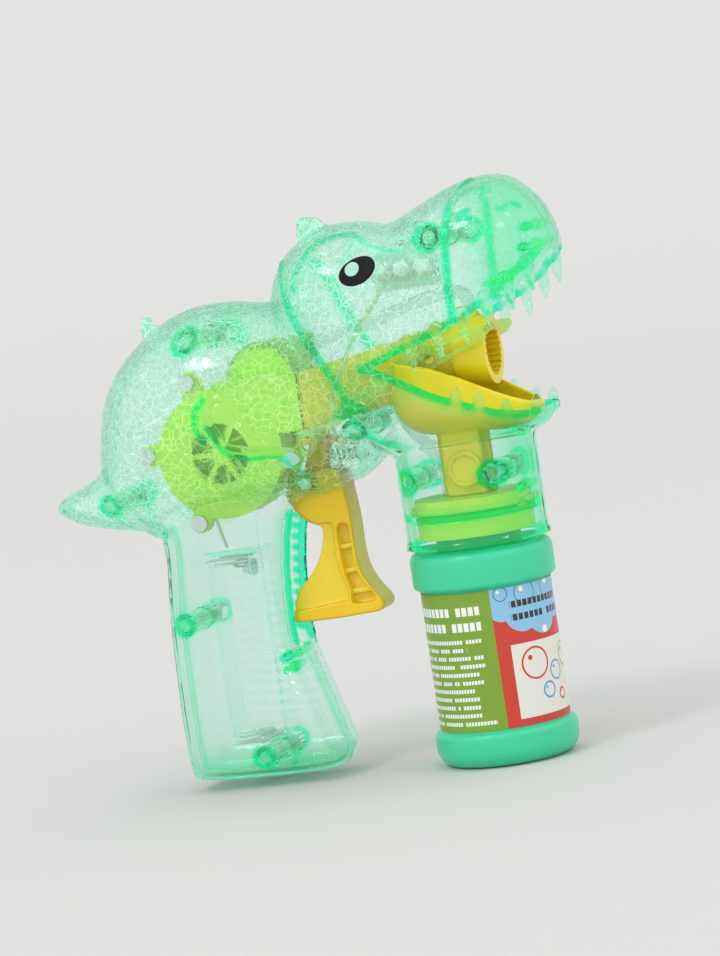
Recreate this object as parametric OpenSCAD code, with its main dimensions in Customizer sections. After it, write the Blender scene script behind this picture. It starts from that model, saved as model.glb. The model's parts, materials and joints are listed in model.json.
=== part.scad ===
// Dinosaur bubble blaster: see-through two-part casing, fan, pump, film wiper and screw-on bottle.
// Millimetres. +X is the way the snout points, +Z is up, the ground is z = 0 and the casing parts at y = 0.

/* [Casing] */
// Thickness of the casing walls
wall = 2; // [1.6:0.1:2.4]
// Half the width of the belly
belly_half_w = 30; // [28:0.5:33]
// Half the width of the handle
handle_half_w = 17; // [16.5:0.25:19]
// Gap between the two casing halves
part_gap = 0.1; // [0.05:0.05:0.3]

/* [Bottle] */
// Radius of the bottle's shoulder and foot bands
bottle_r = 21.5; // [20:0.5:23]
// Radius of the label panel
label_r = 19.4; // [18:0.1:20]
// Height of the bottle from the ground to its shoulder
shoulder_z = 65; // [60:1:65]

/* [Trigger] */
// Angle that the trigger is pulled through, in degrees
pull_angle = 10; // [6:1:10]
// Width of the trigger
trigger_w = 13; // [10:0.5:13]

/* [Drive] */
// Tooth module of the pump gears
gear_module = 0.6; // [0.5:0.05:0.6]
// Radius of the fan wheel
fan_r = 15.8; // [14:0.2:16.4]
// Number of fan blades
fan_blades = 9; // [6:1:12]

/* [Hidden] */

$fn = 48;
form_fn = 26;                 // facets of the casing's rounded forms
far = 200;                    // longer than anything in the model
play = 0.3;                   // clearance between moving pieces
run = 0.06;                   // radial clearance of a pin in its hole

// Bottle and neck
bottle_x = 47;                // the bottle's axis
neck_r = 12.8;                // root of the bottle's neck thread
thread_h = 0.7;               // height of the thread ridges
neck_top = 77.5;
bottle_wall = 1.3;
label_low = 11;
label_high = 53;
holder_z = 66;                // lower rim of the casing's bottle holder
holder_r = 21;
cap_r = 17.5;
cap_low = 68.5;
cap_high = 80;
ledge_low = 74.2;             // casing ledge that the cap's flange sits on
ledge_high = 76;

// Fan, gears and pump: the shafts run along Y
fan_pos = [-25, 102];         // fan and motor axis, in X and Z
scroll_r = 19.6;
scroll_near = -13.6;
scroll_far = -2;
scroll_wall = 1.5;
outlet_low = 106;
outlet_high = 123;
gear_near = -1.3;
gear_far = 2.5;
plate_near = 3;
plate_far = 4.5;
motor_r = 10;
motor_flat = 15;
motor_len = 17;
shaft_r = 1;
pinion_teeth = 12;
wheel_teeth = 30;
pump_teeth = 36;
mesh_gap = 0.06;              // the gears' centres stand this much further apart than their pitch radii
first_step = gear_module * (pinion_teeth + wheel_teeth) / 2 + mesh_gap;
second_step = gear_module * (pinion_teeth + pump_teeth) / 2 + mesh_gap;
pump_pos = [-13, 121];
drive_line = pump_pos - fan_pos;
drive_dist = norm(drive_line);
drive_dir = atan2(drive_line[1], drive_line[0]);
wheel_angle = acos((first_step^2 + drive_dist^2 - second_step^2) / (2 * first_step * drive_dist));
wheel_pos = fan_pos + first_step * [cos(drive_dir - wheel_angle), sin(drive_dir - wheel_angle)];
hose_r = 2;
hose_turn_r = 9;              // the hose's centreline in the pump
roller_r = 2.5;
roller_orbit = hose_turn_r - hose_r - roller_r - 0.1;
pump_near = 5.5;
pump_far = 12.4;
pump_wall = 1.2;
pump_r = hose_turn_r + hose_r + 0.2 + pump_wall;
hose_y = (pump_near + 1 + pump_far) / 2;
tube_top = 84;                // the dip tube stands out of the cap this far

// Nozzle and film wiper
nozzle_z = 122;
nozzle_back = 50;
nozzle_front = 60;
nozzle_r = 10.5;
nozzle_bore = 8;
wiper_x = 44;                 // the wiper's pivot
wiper_arm = 19;
wiper_crank = 3.2;
crank_r = 1;
rod_lever = 12.5;               // height of the trigger's rod pin over its pivot
wiper_swing = pull_angle * rod_lever / wiper_crank;
rod_travel = rod_lever * pull_angle * PI / 180;
arm_near = 12.5;
arm_far = 14;
rod_near = -16;
rod_far = -14.4;

// Trigger
pivot = [-1, 90];
pin_half = 10.5;
pivot_r = 1.5;
rod_pin = pivot + [4, rod_lever];
rod_pin_r = 1.3;
spring_z = 97;
stop_x = 16.4;
stop_top = 100.2;
leaf_x = 8.7;

// Battery bay: two cells stand side by side across the handle
bay_back = -39.2;
bay_front = -23.4;
bay_low = 14;
bay_high = 70;
cell_y = 7.4;
bay_wall = 1.2;
slot_back = bay_front + bay_wall + 0.5;   // the trigger's slot starts in front of the bay

// Mouth line as X and Z: the upper lip, then the lower one
mouth = [
    [33, 124], [43, 127.5], [53, 131], [63, 135.8], [72, 142], [80, 148.5], [100, 160],
    [100, 101], [76, 102], [69, 102.5], [60, 105.5], [49, 110.5], [40, 117]
];

// Screw posts as X and Z
posts = [
    [-62, 90.5], [-28, 137], [51.5, 157.5], [31.5, 86.5], [59, 86.5],
    [-43.5, 52], [-24.5, 9.5], [19.8, 104.5]
];
post_r = 3.2;
pilot_r = 1.1;
screw_r = 1.4;
head_r = 2.7;
head_y = 9;                   // screw heads sit this far from the joint

// Straight part of the handle: height, back, front and what it adds to the half width
grip = [[14, -53, -2.5, 0], [44, -52.5, -10.5, 0], [70, -51.5, -10, 0.5]];

// Ears of the fan housing, as X and Z
ears = [[-32, 124.5], [-48, 104], [-34.5, 82], [-3.2, 98]];
plate_posts = [[-10, 14], [-16, -4], [6, -16]];   // measured from the fan's axis

// ---------- helpers ----------

// A solid of revolution or disc whose axis runs along Y, from y = near to y = far_y
module along_y(pos, near, far_y) {
    translate([pos[0], near, pos[1]]) rotate([-90, 0, 0]) linear_extrude(far_y - near) children();
}

// A plain round bar along Y
module bar_y(pos, r, near, far_y) {
    translate([pos[0], near, pos[1]]) rotate([-90, 0, 0]) cylinder(r = r, h = far_y - near);
}

// A flat outline given in X and Z, thickened along Y
module plate_xz(near, far_y) {
    translate([0, far_y, 0]) rotate([90, 0, 0]) linear_extrude(far_y - near) children();
}

// An ellipsoid, pulled in by g on every side
module blob(c, r, g = 0) {
    translate(c) scale(r - [g, g, g]) sphere(r = 1, $fn = form_fn);
}

// A flat slice of the handle: a slot shape from back to front
module handle_slice(z, back, front, r, g = 0, h = 0.2) {
    for (x = [back + r, front - r])
        translate([x, 0, z]) cylinder(r = r - g, h = h, $fn = form_fn);
}

function unit(v) = v / norm(v);

// A round tube of n sides that follows a list of points
function ring_at(p, d, r, n) =
    let (side = unit(cross(d, abs(d[2]) > 0.9 ? [1, 0, 0] : [0, 0, 1])), up = cross(side, d))
    [for (i = [0 : n - 1]) p + r * (cos(360 * i / n) * side + sin(360 * i / n) * up)];

function heading(path, i) =
    unit(path[min(i + 1, len(path) - 1)] - path[max(i - 1, 0)]);

module swept(path, r, n = 8) {
    rings = [for (i = [0 : len(path) - 1]) each ring_at(path[i], heading(path, i), r, n)];
    last = (len(path) - 1) * n;
    polyhedron(
        points = rings,
        faces = concat(
            [[for (j = [n - 1 : -1 : 0]) j]],
            [for (i = [0 : len(path) - 2]) for (j = [0 : n - 1]) each [
                [i * n + j, i * n + (j + 1) % n, (i + 1) * n + j],
                [(i + 1) * n + j, i * n + (j + 1) % n, (i + 1) * n + (j + 1) % n]
            ]],
            [[for (j = [0 : n - 1]) last + j]]
        )
    );
}

// Rounds the corners of a route by Catmull-Rom interpolation
function smooth(p, steps = 4) = [
    for (i = [0 : len(p) - 2]) for (k = [0 : steps - 1])
        let (
            t = k / steps, a = p[max(i - 1, 0)], b = p[i], c = p[i + 1], d = p[min(i + 2, len(p) - 1)]
        ) 0.5 * ((2 * b) + (c - a) * t + (2 * a - 5 * b + 4 * c - d) * t * t
            + (3 * b - a - 3 * c + d) * t * t * t),
    p[len(p) - 1]
];

// A screw along Y with its head at head_at and its tip further along dir
module screw_y(pos, head_at, len, dir = -1) {
    bar_y(pos, head_r - 0.2, min(head_at, head_at - dir * 1.6), max(head_at, head_at - dir * 1.6));
    bar_y(pos, screw_r - 0.35, min(head_at, head_at + dir * len), max(head_at, head_at + dir * len));
}

// Involute gear outline with stub teeth
function involute(rb, a) = rb * [cos(a) + a * PI / 180 * sin(a), sin(a) - a * PI / 180 * cos(a)];
function spin2(p, a) = [p[0] * cos(a) - p[1] * sin(a), p[0] * sin(a) + p[1] * cos(a)];
function roll_angle(rb, r) = sqrt(max((r / rb)^2 - 1, 0)) * 180 / PI;

module gear_outline(teeth, m, backlash = 0.16) {
    rp = teeth * m / 2;
    rb = rp * cos(20);
    tip = rp + 0.7 * m;
    root = rp - 0.95 * m;
    low = max(rb, root);
    at_pitch = involute(rb, roll_angle(rb, rp));
    half = 90 / teeth - backlash / rp * 180 / PI / 2 + atan2(at_pitch[1], at_pitch[0]);
    steps = 4;
    flank = [
        for (i = [0 : steps])
            spin2(involute(rb, roll_angle(rb, low + (tip - low) * i / steps)), -half)
    ];
    foot = root * [cos(half), -sin(half)];
    tooth = concat([foot], flank);
    mirrored = [for (i = [len(tooth) - 1 : -1 : 0]) [tooth[i][0], -tooth[i][1]]];
    polygon([for (k = [0 : teeth - 1]) each [for (p = concat(tooth, mirrored)) spin2(p, 360 * k / teeth)]]);
}

module gear_y(pos, teeth, near, far_y, turn) {
    translate([pos[0], far_y, pos[1]]) rotate([90, 0, 0]) rotate(turn)
        linear_extrude(far_y - near) gear_outline(teeth, gear_module);
}

// ---------- casing ----------

module casing_form(g = 0) {
    belly = [-27, 0, 112];
    cranium = [20, 0, 137];
    brow = [38, 0, 139];
    snout = [61, 0, 147];
    hull() {
        blob(belly, [37, belly_half_w, 33], g);
        blob([8, 0, 104], [18, 24, 18], g);
    }
    hull() {
        blob(cranium, [24, 27, 28.5], g);
        blob([10, 0, 112], [17, 26, 20], g);
    }
    blob([0, 0, 122], [19, 26, 20.5], g);
    hull() {
        blob(cranium, [23.8, 26.8, 28.3], g);
        blob(brow, [22, 26, 25], g);
        blob([34, 0, 124], [14, 27, 16], g);
    }
    hull() {
        blob(brow, [21.8, 25.8, 24.8], g);
        blob(snout, [24, 25, 26], g);
    }
    hull() {
        blob([32, 0, 112], [17, 24, 16], g);
        blob([50, 0, 106], [18, 22, 10.5], g);
        blob([64, 0, 103], [12.5, 14, 7.5], g);
    }
    hull() {
        translate([bottle_x, 0, holder_z - 3 * g]) cylinder(r = holder_r - g, h = 1, $fn = form_fn * 2);
        translate([45.5, 0, 101]) scale([22.6 - g, 21 - g, 1]) cylinder(r = 1, h = 1, $fn = form_fn * 2);
    }
    hull() {
        handle_slice(g, -51, -1.5, handle_half_w - 2.5, g);
        handle_slice(3 + g, -53, 0, handle_half_w, g);
        handle_slice(14, -53, -2.5, handle_half_w, g);
    }
    handle_wall(g);
    hull() {
        handle_slice(70, -51.5, -10, handle_half_w + 0.5, g);
        handle_slice(90, -56, -2, handle_half_w + 4, g);
    }
    hull() {
        blob([-50, 0, 94], [18, 17, 15], g);
        blob([-68, 0, 91.8], [8, 8, 8], g);
    }
    hull() {
        blob([-68, 0, 91.8], [8, 8, 8], g);
        blob([-80.5, 0, 91], [4, 3.5, 3.5], min(g, 1.6));
    }
}

// Small horns that stand on the seam
module horns() {
    for (h = [[12, 163, 5.5, -12], [-45, 139, 5, -42], [-58.5, 125, 3.2, -62]])
        translate([h[0], 0, h[1]]) rotate([0, h[3], 0])
            cylinder(r1 = h[2] * 0.85, r2 = 1.2, h = h[2] + 1.5, $fn = 14);
}

// One tooth: a flat cone that points down from the upper lip, or up from the lower one
module tooth(x, y, z, h, up) {
    translate([x, y, z]) rotate([up ? 0 : 180, 0, 0]) scale([1, 0.6, 1])
        cylinder(r1 = 2.3, r2 = 0.4, h = h, $fn = 8);
}

module teeth(side) {
    upper = [
        [43, 22.9, 128.5, 8], [51.5, 21.4, 131.5, 8], [59.5, 21.5, 135, 8.5],
        [67, 21.3, 139.5, 9], [73.5, 19.4, 144, 9], [79, 14.8, 148.5, 8.5]
    ];
    lower = [[57, 19, 105.5, 5.5], [62.5, 15.4, 103.8, 5.5], [69, 11.2, 101.5, 5.5]];
    for (t = upper)
        tooth(t[0], side * t[1], t[2], t[3], false);
    for (t = lower)
        tooth(t[0], side * t[1], t[2], t[3], true);
}

// The little arm, which stands proud of the casing's side
module arm(side) {
    shoulder = [-22, side * 27.4, 112];
    elbow = [-14, side * 27, 104.5];
    wrist = [0, side * 24, 101.5];
    hand = [8, side * 21.5, 98];
    hull() {
        blob(shoulder, [6, 6, 6]);
        blob(elbow, [5, 5, 5]);
    }
    hull() {
        blob(elbow, [5, 5, 5]);
        blob(wrist, [4, 4, 4]);
    }
    hull() {
        blob(wrist, [4, 4, 4]);
        blob(hand, [2.5, 2.5, 2.5]);
    }
}

// Walls inside the casing: bay walls, spring stop, snout bulkhead, bottle ledge
module inner_walls() {
    bay_long = bay_front - bay_back + 2 * bay_wall;
    for (x = [bay_back - bay_wall, bay_front])
        translate([x, -far / 2, bay_low - 2]) cube([bay_wall, far, bay_high - bay_low + 3]);
    for (z = [bay_low - 2, bay_high])
        translate([bay_back - bay_wall, -far / 2, z]) cube([bay_long, far, bay_wall]);
    translate([stop_x, -9, 80]) cube([1.5, 18, stop_top - 80]);
    translate([58, -far / 2, 136.5]) cube([1.5, far, 40]);
    difference() {
        translate([bottle_x, 0, ledge_low]) cylinder(r = 30, h = ledge_high - ledge_low, $fn = form_fn * 2);
        translate([bottle_x, 0, ledge_low - 1]) cylinder(r = cap_r + play, h = 4, $fn = form_fn * 2);
    }
}

// Everything that is cut through the casing walls
module casing_cuts() {
    plate_xz(-far / 2, far / 2) polygon(mouth);
    translate([bottle_x, 0, 50]) cylinder(r = holder_r - wall, h = ledge_low - 50, $fn = form_fn * 2);
    plate_xz(-trigger_w / 2 - 1, trigger_w / 2 + 1)
        polygon([[slot_back, 40], [30, 40], [30, 60], [12, 90], [-10, 92], [slot_back, 80]]);
}

module casing_half(side) {
    post_near = side < 0 ? -far / 2 : part_gap / 2;
    intersection() {
        difference() {
            union() {
                difference() {
                    union() {
                        casing_form();
                        horns();
                        arm(side);
                    }
                    casing_form(wall);
                    casing_cuts();
                }
                intersection() {
                    casing_form(wall / 2);
                    union() {
                        difference() {
                            inner_walls();
                            casing_cuts();
                        }
                        for (p = posts)
                            bar_y(p, post_r, -far / 2, far / 2, $fn = 18);
                        for (s = [-1, 1])
                            bar_y(pivot, 3.6, s < 0 ? -15 : 7.2, s < 0 ? -7.2 : 15, $fn = 18);
                    }
                }
                teeth(side);
            }
            for (p = posts) {
                bar_y(p, pilot_r, -8, far / 2, $fn = 12);
                bar_y(p, head_r, head_y, far / 2, $fn = 16);
            }
            bar_y(pivot, pivot_r + 0.05, -pin_half - 0.1, pin_half + 0.1, $fn = 24);
            if (side > 0)
                left_openings();
        }
        translate([-far / 2, side < 0 ? -far - part_gap / 2 : part_gap / 2, -1]) cube([far, far, far]);
    }
}

// Door opening and air vents, in the left half only
module left_openings() {
    door_cut(0);
    for (i = [-2 : 2])
        translate([fan_pos[0] - 8 + abs(i) * 2, 18, fan_pos[1] + i * 5 - 1]) cube([18 - abs(i) * 4, 20, 2]);
}

module door_cut(g) {
    translate([bay_back + g, 10, bay_low + g])
        cube([bay_front - bay_back - 2 * g, 20, bay_high - bay_low - 2 * g]);
}

module right_shell() color("#a8e8cc", 0.5) casing_half(-1);

module left_shell() color("#a8e8cc", 0.5) casing_half(1);

module shell_screws() color("silver")
    for (p = posts)
        screw_y(p, head_y + 0.02, 15.5, -1);

// ---------- battery bay ----------

// The door is the piece of handle wall that fills the opening, with thumb ribs
module battery_door() color("#a8e8cc", 0.5) difference() {
    intersection() {
        door_cut(play);
        difference() {
            union() {
                handle_wall(0);
                for (z = [24 : 4 : 56])
                    translate([(bay_back + bay_front) / 2 - 5, handle_half_w - 0.5, z]) cube([10, 1.3, 1.4]);
            }
            handle_wall(wall);
        }
    }
    bar_y([(bay_back + bay_front) / 2, 64], screw_r, 0, far / 2);
}

module handle_wall(g) {
    for (i = [0 : len(grip) - 2])
        hull() {
            handle_slice(grip[i][0], grip[i][1], grip[i][2], handle_half_w + grip[i][3], g);
            handle_slice(grip[i + 1][0], grip[i + 1][1], grip[i + 1][2], handle_half_w + grip[i + 1][3], g);
        }
}

module battery_door_screw() color("silver") {
    x = (bay_back + bay_front) / 2;
    bar_y([x, 64], head_r, handle_half_w + 0.6, handle_half_w + 2);
    bar_y([x, 64], screw_r - 0.1, handle_half_w - 6, handle_half_w + 0.6);
}

function cone_spring(c, low, high, r1, r2, turns, per_turn = 12) = [
    for (i = [0 : turns * per_turn])
        let (t = i / (turns * per_turn), r = r1 + (r2 - r1) * t, a = 360 * i / per_turn)
        c + [r * cos(a), r * sin(a), low + (high - low) * t]
];

// The springs press on one end of each cell
module contact_springs() color("silver") {
    x = (bay_back + bay_front) / 2;
    swept(cone_spring([x, -cell_y, 0], bay_low + 0.5, bay_low + 3.6, 4, 2, 3), 0.35, 6);
    swept(cone_spring([x, cell_y, 0], bay_high - 1.3, bay_high - 4.4, 4, 2, 3), 0.35, 6);
}

module contact_plates() color("silver") {
    x = (bay_back + bay_front) / 2;
    translate([x - 5, -12, bay_low - 0.75]) cube([10, 24, 0.5]);
    translate([x, cell_y, bay_low - 0.25]) cylinder(r = 3, h = 1.2);
    for (s = [-1, 1])
        translate([x - 5, s * cell_y - 4.5, bay_high - 0.8]) cube([10, 9, 0.5]);
    translate([x, -cell_y, bay_high - 2]) cylinder(r = 3, h = 1.2);
}

// ---------- fan and motor ----------

module scroll_outline(g) {
    translate(fan_pos) circle(r = scroll_r - g, $fn = 96);
    translate([fan_pos[0], outlet_low + g]) square([27 - g + 2 * g, outlet_high - outlet_low - 2 * g]);
}

module ear_outline() {
    for (e = ears)
        hull() {
            translate(e) circle(r = 3, $fn = 24);
            translate(e + 6 * unit(fan_pos - e)) circle(r = 3, $fn = 24);
        }
}

module fan_housing() color("gold") difference() {
    union() {
        plate_xz(scroll_near + scroll_wall, scroll_far) scroll_outline(0);
        plate_xz(scroll_near + scroll_wall, scroll_near + 4) ear_outline();
        for (s = plate_posts)
            bar_y(fan_pos + s, 2, scroll_far, plate_near);
    }
    plate_xz(scroll_near, scroll_far - scroll_wall) scroll_outline(scroll_wall);
    translate([fan_pos[0] + 20, scroll_near, outlet_low + scroll_wall])
        cube([20, scroll_far - scroll_near - scroll_wall, outlet_high - outlet_low - 2 * scroll_wall]);
    bar_y(fan_pos, shaft_r + 1, scroll_far - 3, scroll_far + 1);
    for (e = ears)
        bar_y(e, pilot_r, scroll_near, 0);
}

module fan_cover() color("gold") difference() {
    plate_xz(scroll_near, scroll_near + scroll_wall) {
        scroll_outline(0);
        ear_outline();
    }
    difference() {
        bar_y(fan_pos, 9, scroll_near - 1, 0);
        for (a = [0, 60, 120])
            translate([fan_pos[0], scroll_near, fan_pos[1]]) rotate([0, a, 0])
                translate([-10, 0, -0.8]) cube([20, scroll_wall, 1.6]);
        bar_y(fan_pos, 3, scroll_near, scroll_near + scroll_wall);
    }
    for (e = ears)
        bar_y(e, screw_r, scroll_near - 1, 0);
}

module fan_screws() color("silver")
    for (e = ears)
        screw_y(e, scroll_near, 5, 1);

module motor_section(r) {
    intersection() {
        circle(r = r, $fn = 72);
        square([2 * r, motor_flat - 2 * (motor_r - r)], center = true);
    }
}

module motor_can() color("silver") difference() {
    union() {
        along_y(fan_pos, plate_far, plate_far + motor_len) motor_section(motor_r);
        bar_y(fan_pos, 3, plate_near - 0.4, plate_far);
    }
    along_y(fan_pos, plate_far + 1.5, plate_far + motor_len + 1) motor_section(motor_r - 0.6);
    bar_y(fan_pos, shaft_r + run, 0, 20);
}

module motor_end_cap() color("white") difference() {
    union() {
        along_y(fan_pos, plate_far + motor_len - 2, plate_far + motor_len) motor_section(motor_r - 0.7);
        bar_y(fan_pos, 3, plate_far + motor_len, plate_far + motor_len + 1);
    }
    for (s = [-1, 1])
        translate([fan_pos[0] + s * 6 - 0.4, 15, fan_pos[1] - 1.5]) cube([0.8, 15, 3]);
}

module motor_terminals() color("goldenrod")
    for (s = [-1, 1])
        translate([fan_pos[0] + s * 6 - 0.2, plate_far + motor_len - 1.8, fan_pos[1] - 1.2])
            cube([0.4, 3.4, 2.4]);

module motor_plate() color("gold") difference() {
    plate_xz(plate_near, plate_far) offset(r = 2) offset(delta = -2) {
        translate(fan_pos) circle(r = 19, $fn = 72);
        hull() {
            translate(wheel_pos) circle(r = 8, $fn = 48);
            translate(pump_pos) circle(r = pump_r, $fn = 72);
        }
    }
    bar_y(fan_pos, 3.1, 0, 10);
    bar_y(wheel_pos, shaft_r, 0, 10);
    bar_y(pump_pos, 2.2, 0, 10);
}

module motor_shaft() color("silver")
    bar_y(fan_pos, shaft_r, scroll_near + 2.6, plate_far + motor_len - 3);

module impeller() color("white") difference() {
    union() {
        bar_y(fan_pos, fan_r, scroll_far - 3.4, scroll_far - 2.2);
        bar_y(fan_pos, 3.2, scroll_near + 3, scroll_far - 2.2);
        for (i = [0 : fan_blades - 1])
            translate([fan_pos[0], scroll_near + 2.6, fan_pos[1]]) rotate([0, i * 360 / fan_blades, 0])
                translate([4, 0, 0]) rotate([0, 20, 0])
                    cube([fan_r - 5, scroll_far - scroll_near - 5.5, 0.9]);
    }
    bar_y(fan_pos, shaft_r, -20, 0);
}

// ---------- gears and pump ----------

wheel_dir = drive_dir - wheel_angle;
pump_dir = atan2(pump_pos[1] - wheel_pos[1], pump_pos[0] - wheel_pos[0]);
// Each wheel is turned so that one of its gaps faces a tooth of the last
pinion_turn = wheel_dir;
wheel_turn = wheel_dir + 180 + 180 / wheel_teeth;
second_turn = pump_dir;
pump_turn = pump_dir + 180 + 180 / pump_teeth;

module drive_pinion() color("goldenrod") difference() {
    gear_y(fan_pos, pinion_teeth, gear_near + 2, gear_far, pinion_turn);
    bar_y(fan_pos, shaft_r, -10, 10);
}

module gear_axles() color("silver") {
    bar_y(wheel_pos, shaft_r, scroll_far, plate_far + 0.5);
    bar_y(pump_pos, shaft_r, scroll_far, pump_far + 1);
}

module reduction_gear() color("white") difference() {
    union() {
        gear_y(wheel_pos, wheel_teeth, gear_near + 2, gear_far, wheel_turn);
        gear_y(wheel_pos, pinion_teeth, gear_near, gear_near + 2, second_turn);
    }
    bar_y(wheel_pos, shaft_r + run, -10, 10);
}

// The pump gear's boss passes through the plate and carries the two roller pins
module pump_gear() color("white") difference() {
    union() {
        gear_y(pump_pos, pump_teeth, gear_near, gear_near + 1.8, pump_turn);
        bar_y(pump_pos, 2, gear_near, pump_far - 1.2);
        bar_y(pump_pos, 5.9, pump_near + 1.2, pump_near + 2.2);
        for (s = [0, 180])
            bar_y(pump_pos + roller_orbit * [cos(s), sin(s)], 1, pump_near + 2, pump_far - 1.4);
    }
    bar_y(pump_pos, shaft_r + run, -10, 20);
}

module pump_roller(i) color("gainsboro") {
    at = pump_pos + roller_orbit * [cos(180 * i), sin(180 * i)];
    difference() {
        bar_y(at, roller_r - 0.35, pump_near + 2.4, pump_far - 1.5);
        bar_y(at, 1 + run, 0, 20);
        bar_y(pump_pos, 2.1, 0, 20);
    }
}

module pump_outline(g) {
    translate(pump_pos) circle(r = pump_r - g, $fn = 72);
    translate([pump_pos[0], pump_pos[1] - pump_r + g]) square([pump_r + 1, 2 * (pump_r - g)]);
}

module pump_housing() color("gold") difference() {
    plate_xz(pump_near - 0.9, pump_far) pump_outline(0);
    plate_xz(pump_near + 1, pump_far + 1) pump_outline(pump_wall);
    translate([pump_pos[0], pump_near + 1, pump_pos[1] - pump_r + pump_wall])
        cube([20, 20, 2 * (pump_r - pump_wall)]);
    bar_y(pump_pos, 2.3, 0, 10);
}

module pump_lid() color("gold") difference() {
    plate_xz(pump_far + 0.05, pump_far + 1.5) pump_outline(0);
    bar_y(pump_pos, shaft_r + 0.1, 0, 30);
}

// Suction hose from the cap, once round the pump, then on to the nozzle
module feed_hose() color("white", 0.7) {
    turn = [for (a = [-90 : -15 : -270]) [
        pump_pos[0] + hose_turn_r * cos(a), hose_y, pump_pos[1] + hose_turn_r * sin(a)
    ]];
    suction = smooth([
        [39, 3.5, tube_top + 0.4], [38.8, 3.7, 87], [37, 5, 91], [33, 7.5, 95.5], [29.4, 6.6, 100.5],
        [26.2, 8.8, 105.3], [23, 10.5, 109.5], [13, 13, 113.5], [4, 11.5, 112],
        [-1, hose_y, pump_pos[1] - hose_turn_r],
        [-7, hose_y, pump_pos[1] - hose_turn_r]
    ]);
    delivery = smooth([
        [-7, hose_y, pump_pos[1] + hose_turn_r], [-1, hose_y, pump_pos[1] + hose_turn_r], [8, 11.5, 131],
        [20, 13, 134], [34, 12, 138], [46, 7, 140], [52.5, 1.5, 139.5], [54.5, 0, 136.8], [54.5, 0, 133.7]
    ], 3);
    swept(concat(suction, turn, delivery), hose_r - 0.1, 8);
}

// ---------- air path ----------

module duct_form(g) {
    hull() {
        translate([2.6, scroll_near + g, outlet_low + g])
            cube([1, scroll_far - scroll_near - 2 * g, outlet_high - outlet_low - 2 * g]);
        translate([nozzle_back - 1, 0, nozzle_z]) rotate([0, 90, 0]) cylinder(r = 9.6 - g, h = 1, $fn = 32);
    }
}

module air_duct() color("gold") {
    difference() {
        duct_form(0);
        duct_form(1.4);
        translate([2, scroll_near + 1.4, outlet_low + 1.4])
            cube([2, scroll_far - scroll_near - 2.8, outlet_high - outlet_low - 2.8]);
        translate([nozzle_back - 2, 0, nozzle_z]) rotate([0, 90, 0]) cylinder(r = 8.2, h = 4);
    }
    for (s = [-1, 1])
        bar_y([wiper_x, nozzle_z], 1.4, s < 0 ? -arm_far - 0.4 : 8.4, s < 0 ? -8.4 : arm_far + 0.4);
}

// Ring with ribs across its mouth, which hold the soap solution
module nozzle() color("gold") {
    translate([nozzle_back, 0, nozzle_z]) rotate([0, 90, 0]) {
        difference() {
            union() {
                cylinder(r = nozzle_r, h = nozzle_front - nozzle_back);
                translate([-10, 0, 4.5]) rotate([0, -90, 0]) cylinder(r = 2.6, h = 1.5);
            }
            translate([0, 0, -1]) cylinder(r = nozzle_bore, h = 20);
            translate([-8, 0, 4.5]) rotate([0, -90, 0]) cylinder(r = 1.2, h = 6);
        }
        for (i = [0 : 23])
            rotate(i * 15) translate([nozzle_bore - 0.8, -0.35, 4]) cube([1.2, 0.7, 6]);
    }
}

module tray_form(g) {
    hull() {
        blob([38.5, 0, 111], [10.5, 18.6, 12], g);
        blob([62, 0, 104.8], [10, 10, 6.6], g);
    }
}

// Bowl in the lower jaw, with the drain column that stands on the bottle cap
module drip_tray() color("gold") {
    difference() {
        union() {
            intersection() {
                tray_form(0);
                plate_xz(-30, 30) polygon([[20, 90], [80, 90], [80, 104.5], [73, 106], [35, 119], [20, 119]]);
            }
            translate([bottle_x - 5.7, -6, cap_high + 0.1]) cube([12, 12, 20]);
            translate([bottle_x - 8, -1, cap_high + 0.1]) cube([16, 2, 19.5]);
            bar_y([bottle_x + 1, 88], 5.4, -8, -5.9);
        }
        tray_form(1.6);
        duct_form(-play - 0.1);
        translate([bottle_x, 0, cap_high - 1]) cylinder(r = 3, h = 25);
        bar_y([bottle_x + 1, 88], 4, -8.1, -7);
    }
}

// ---------- bottle ----------

// Fixed cap with an inside thread: its flange is held on the casing's ledge
module bottle_cap() color("gold") translate([bottle_x, 0, 0]) difference() {
    rotate_extrude($fn = 96) difference() {
        union() {
            translate([0, cap_low]) square([cap_r, cap_high - cap_low]);
            translate([0, ledge_high + 0.1]) square([cap_r + 1, 1.6]);
        }
        translate([-1, cap_low - 1]) square([neck_r + thread_h + 0.4 + 1, neck_top + 1.1 - cap_low + 1]);
    }
    translate([0, 0, 60]) cylinder(r = 3, h = 40);
    translate([-8, 3.5, 60]) cylinder(r = 2.1, h = 40);
}

module bottle_seal() color("white") translate([bottle_x, 0, 0]) difference() {
    translate([0, 0, neck_top + 0.1]) cylinder(r = neck_r, h = 0.9);
    translate([0, 0, neck_top]) cylinder(r = neck_r - 1.8, h = 3);
}

module dip_tube() color("white", 0.7) translate([bottle_x - 8, 3.5, 0]) difference() {
    translate([0, 0, 12]) cylinder(r = 2, h = tube_top - 12);
    translate([0, 0, 11]) cylinder(r = 1.2, h = 80);
    translate([-3, -0.5, 11]) cube([6, 1, 3]);
}

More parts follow.
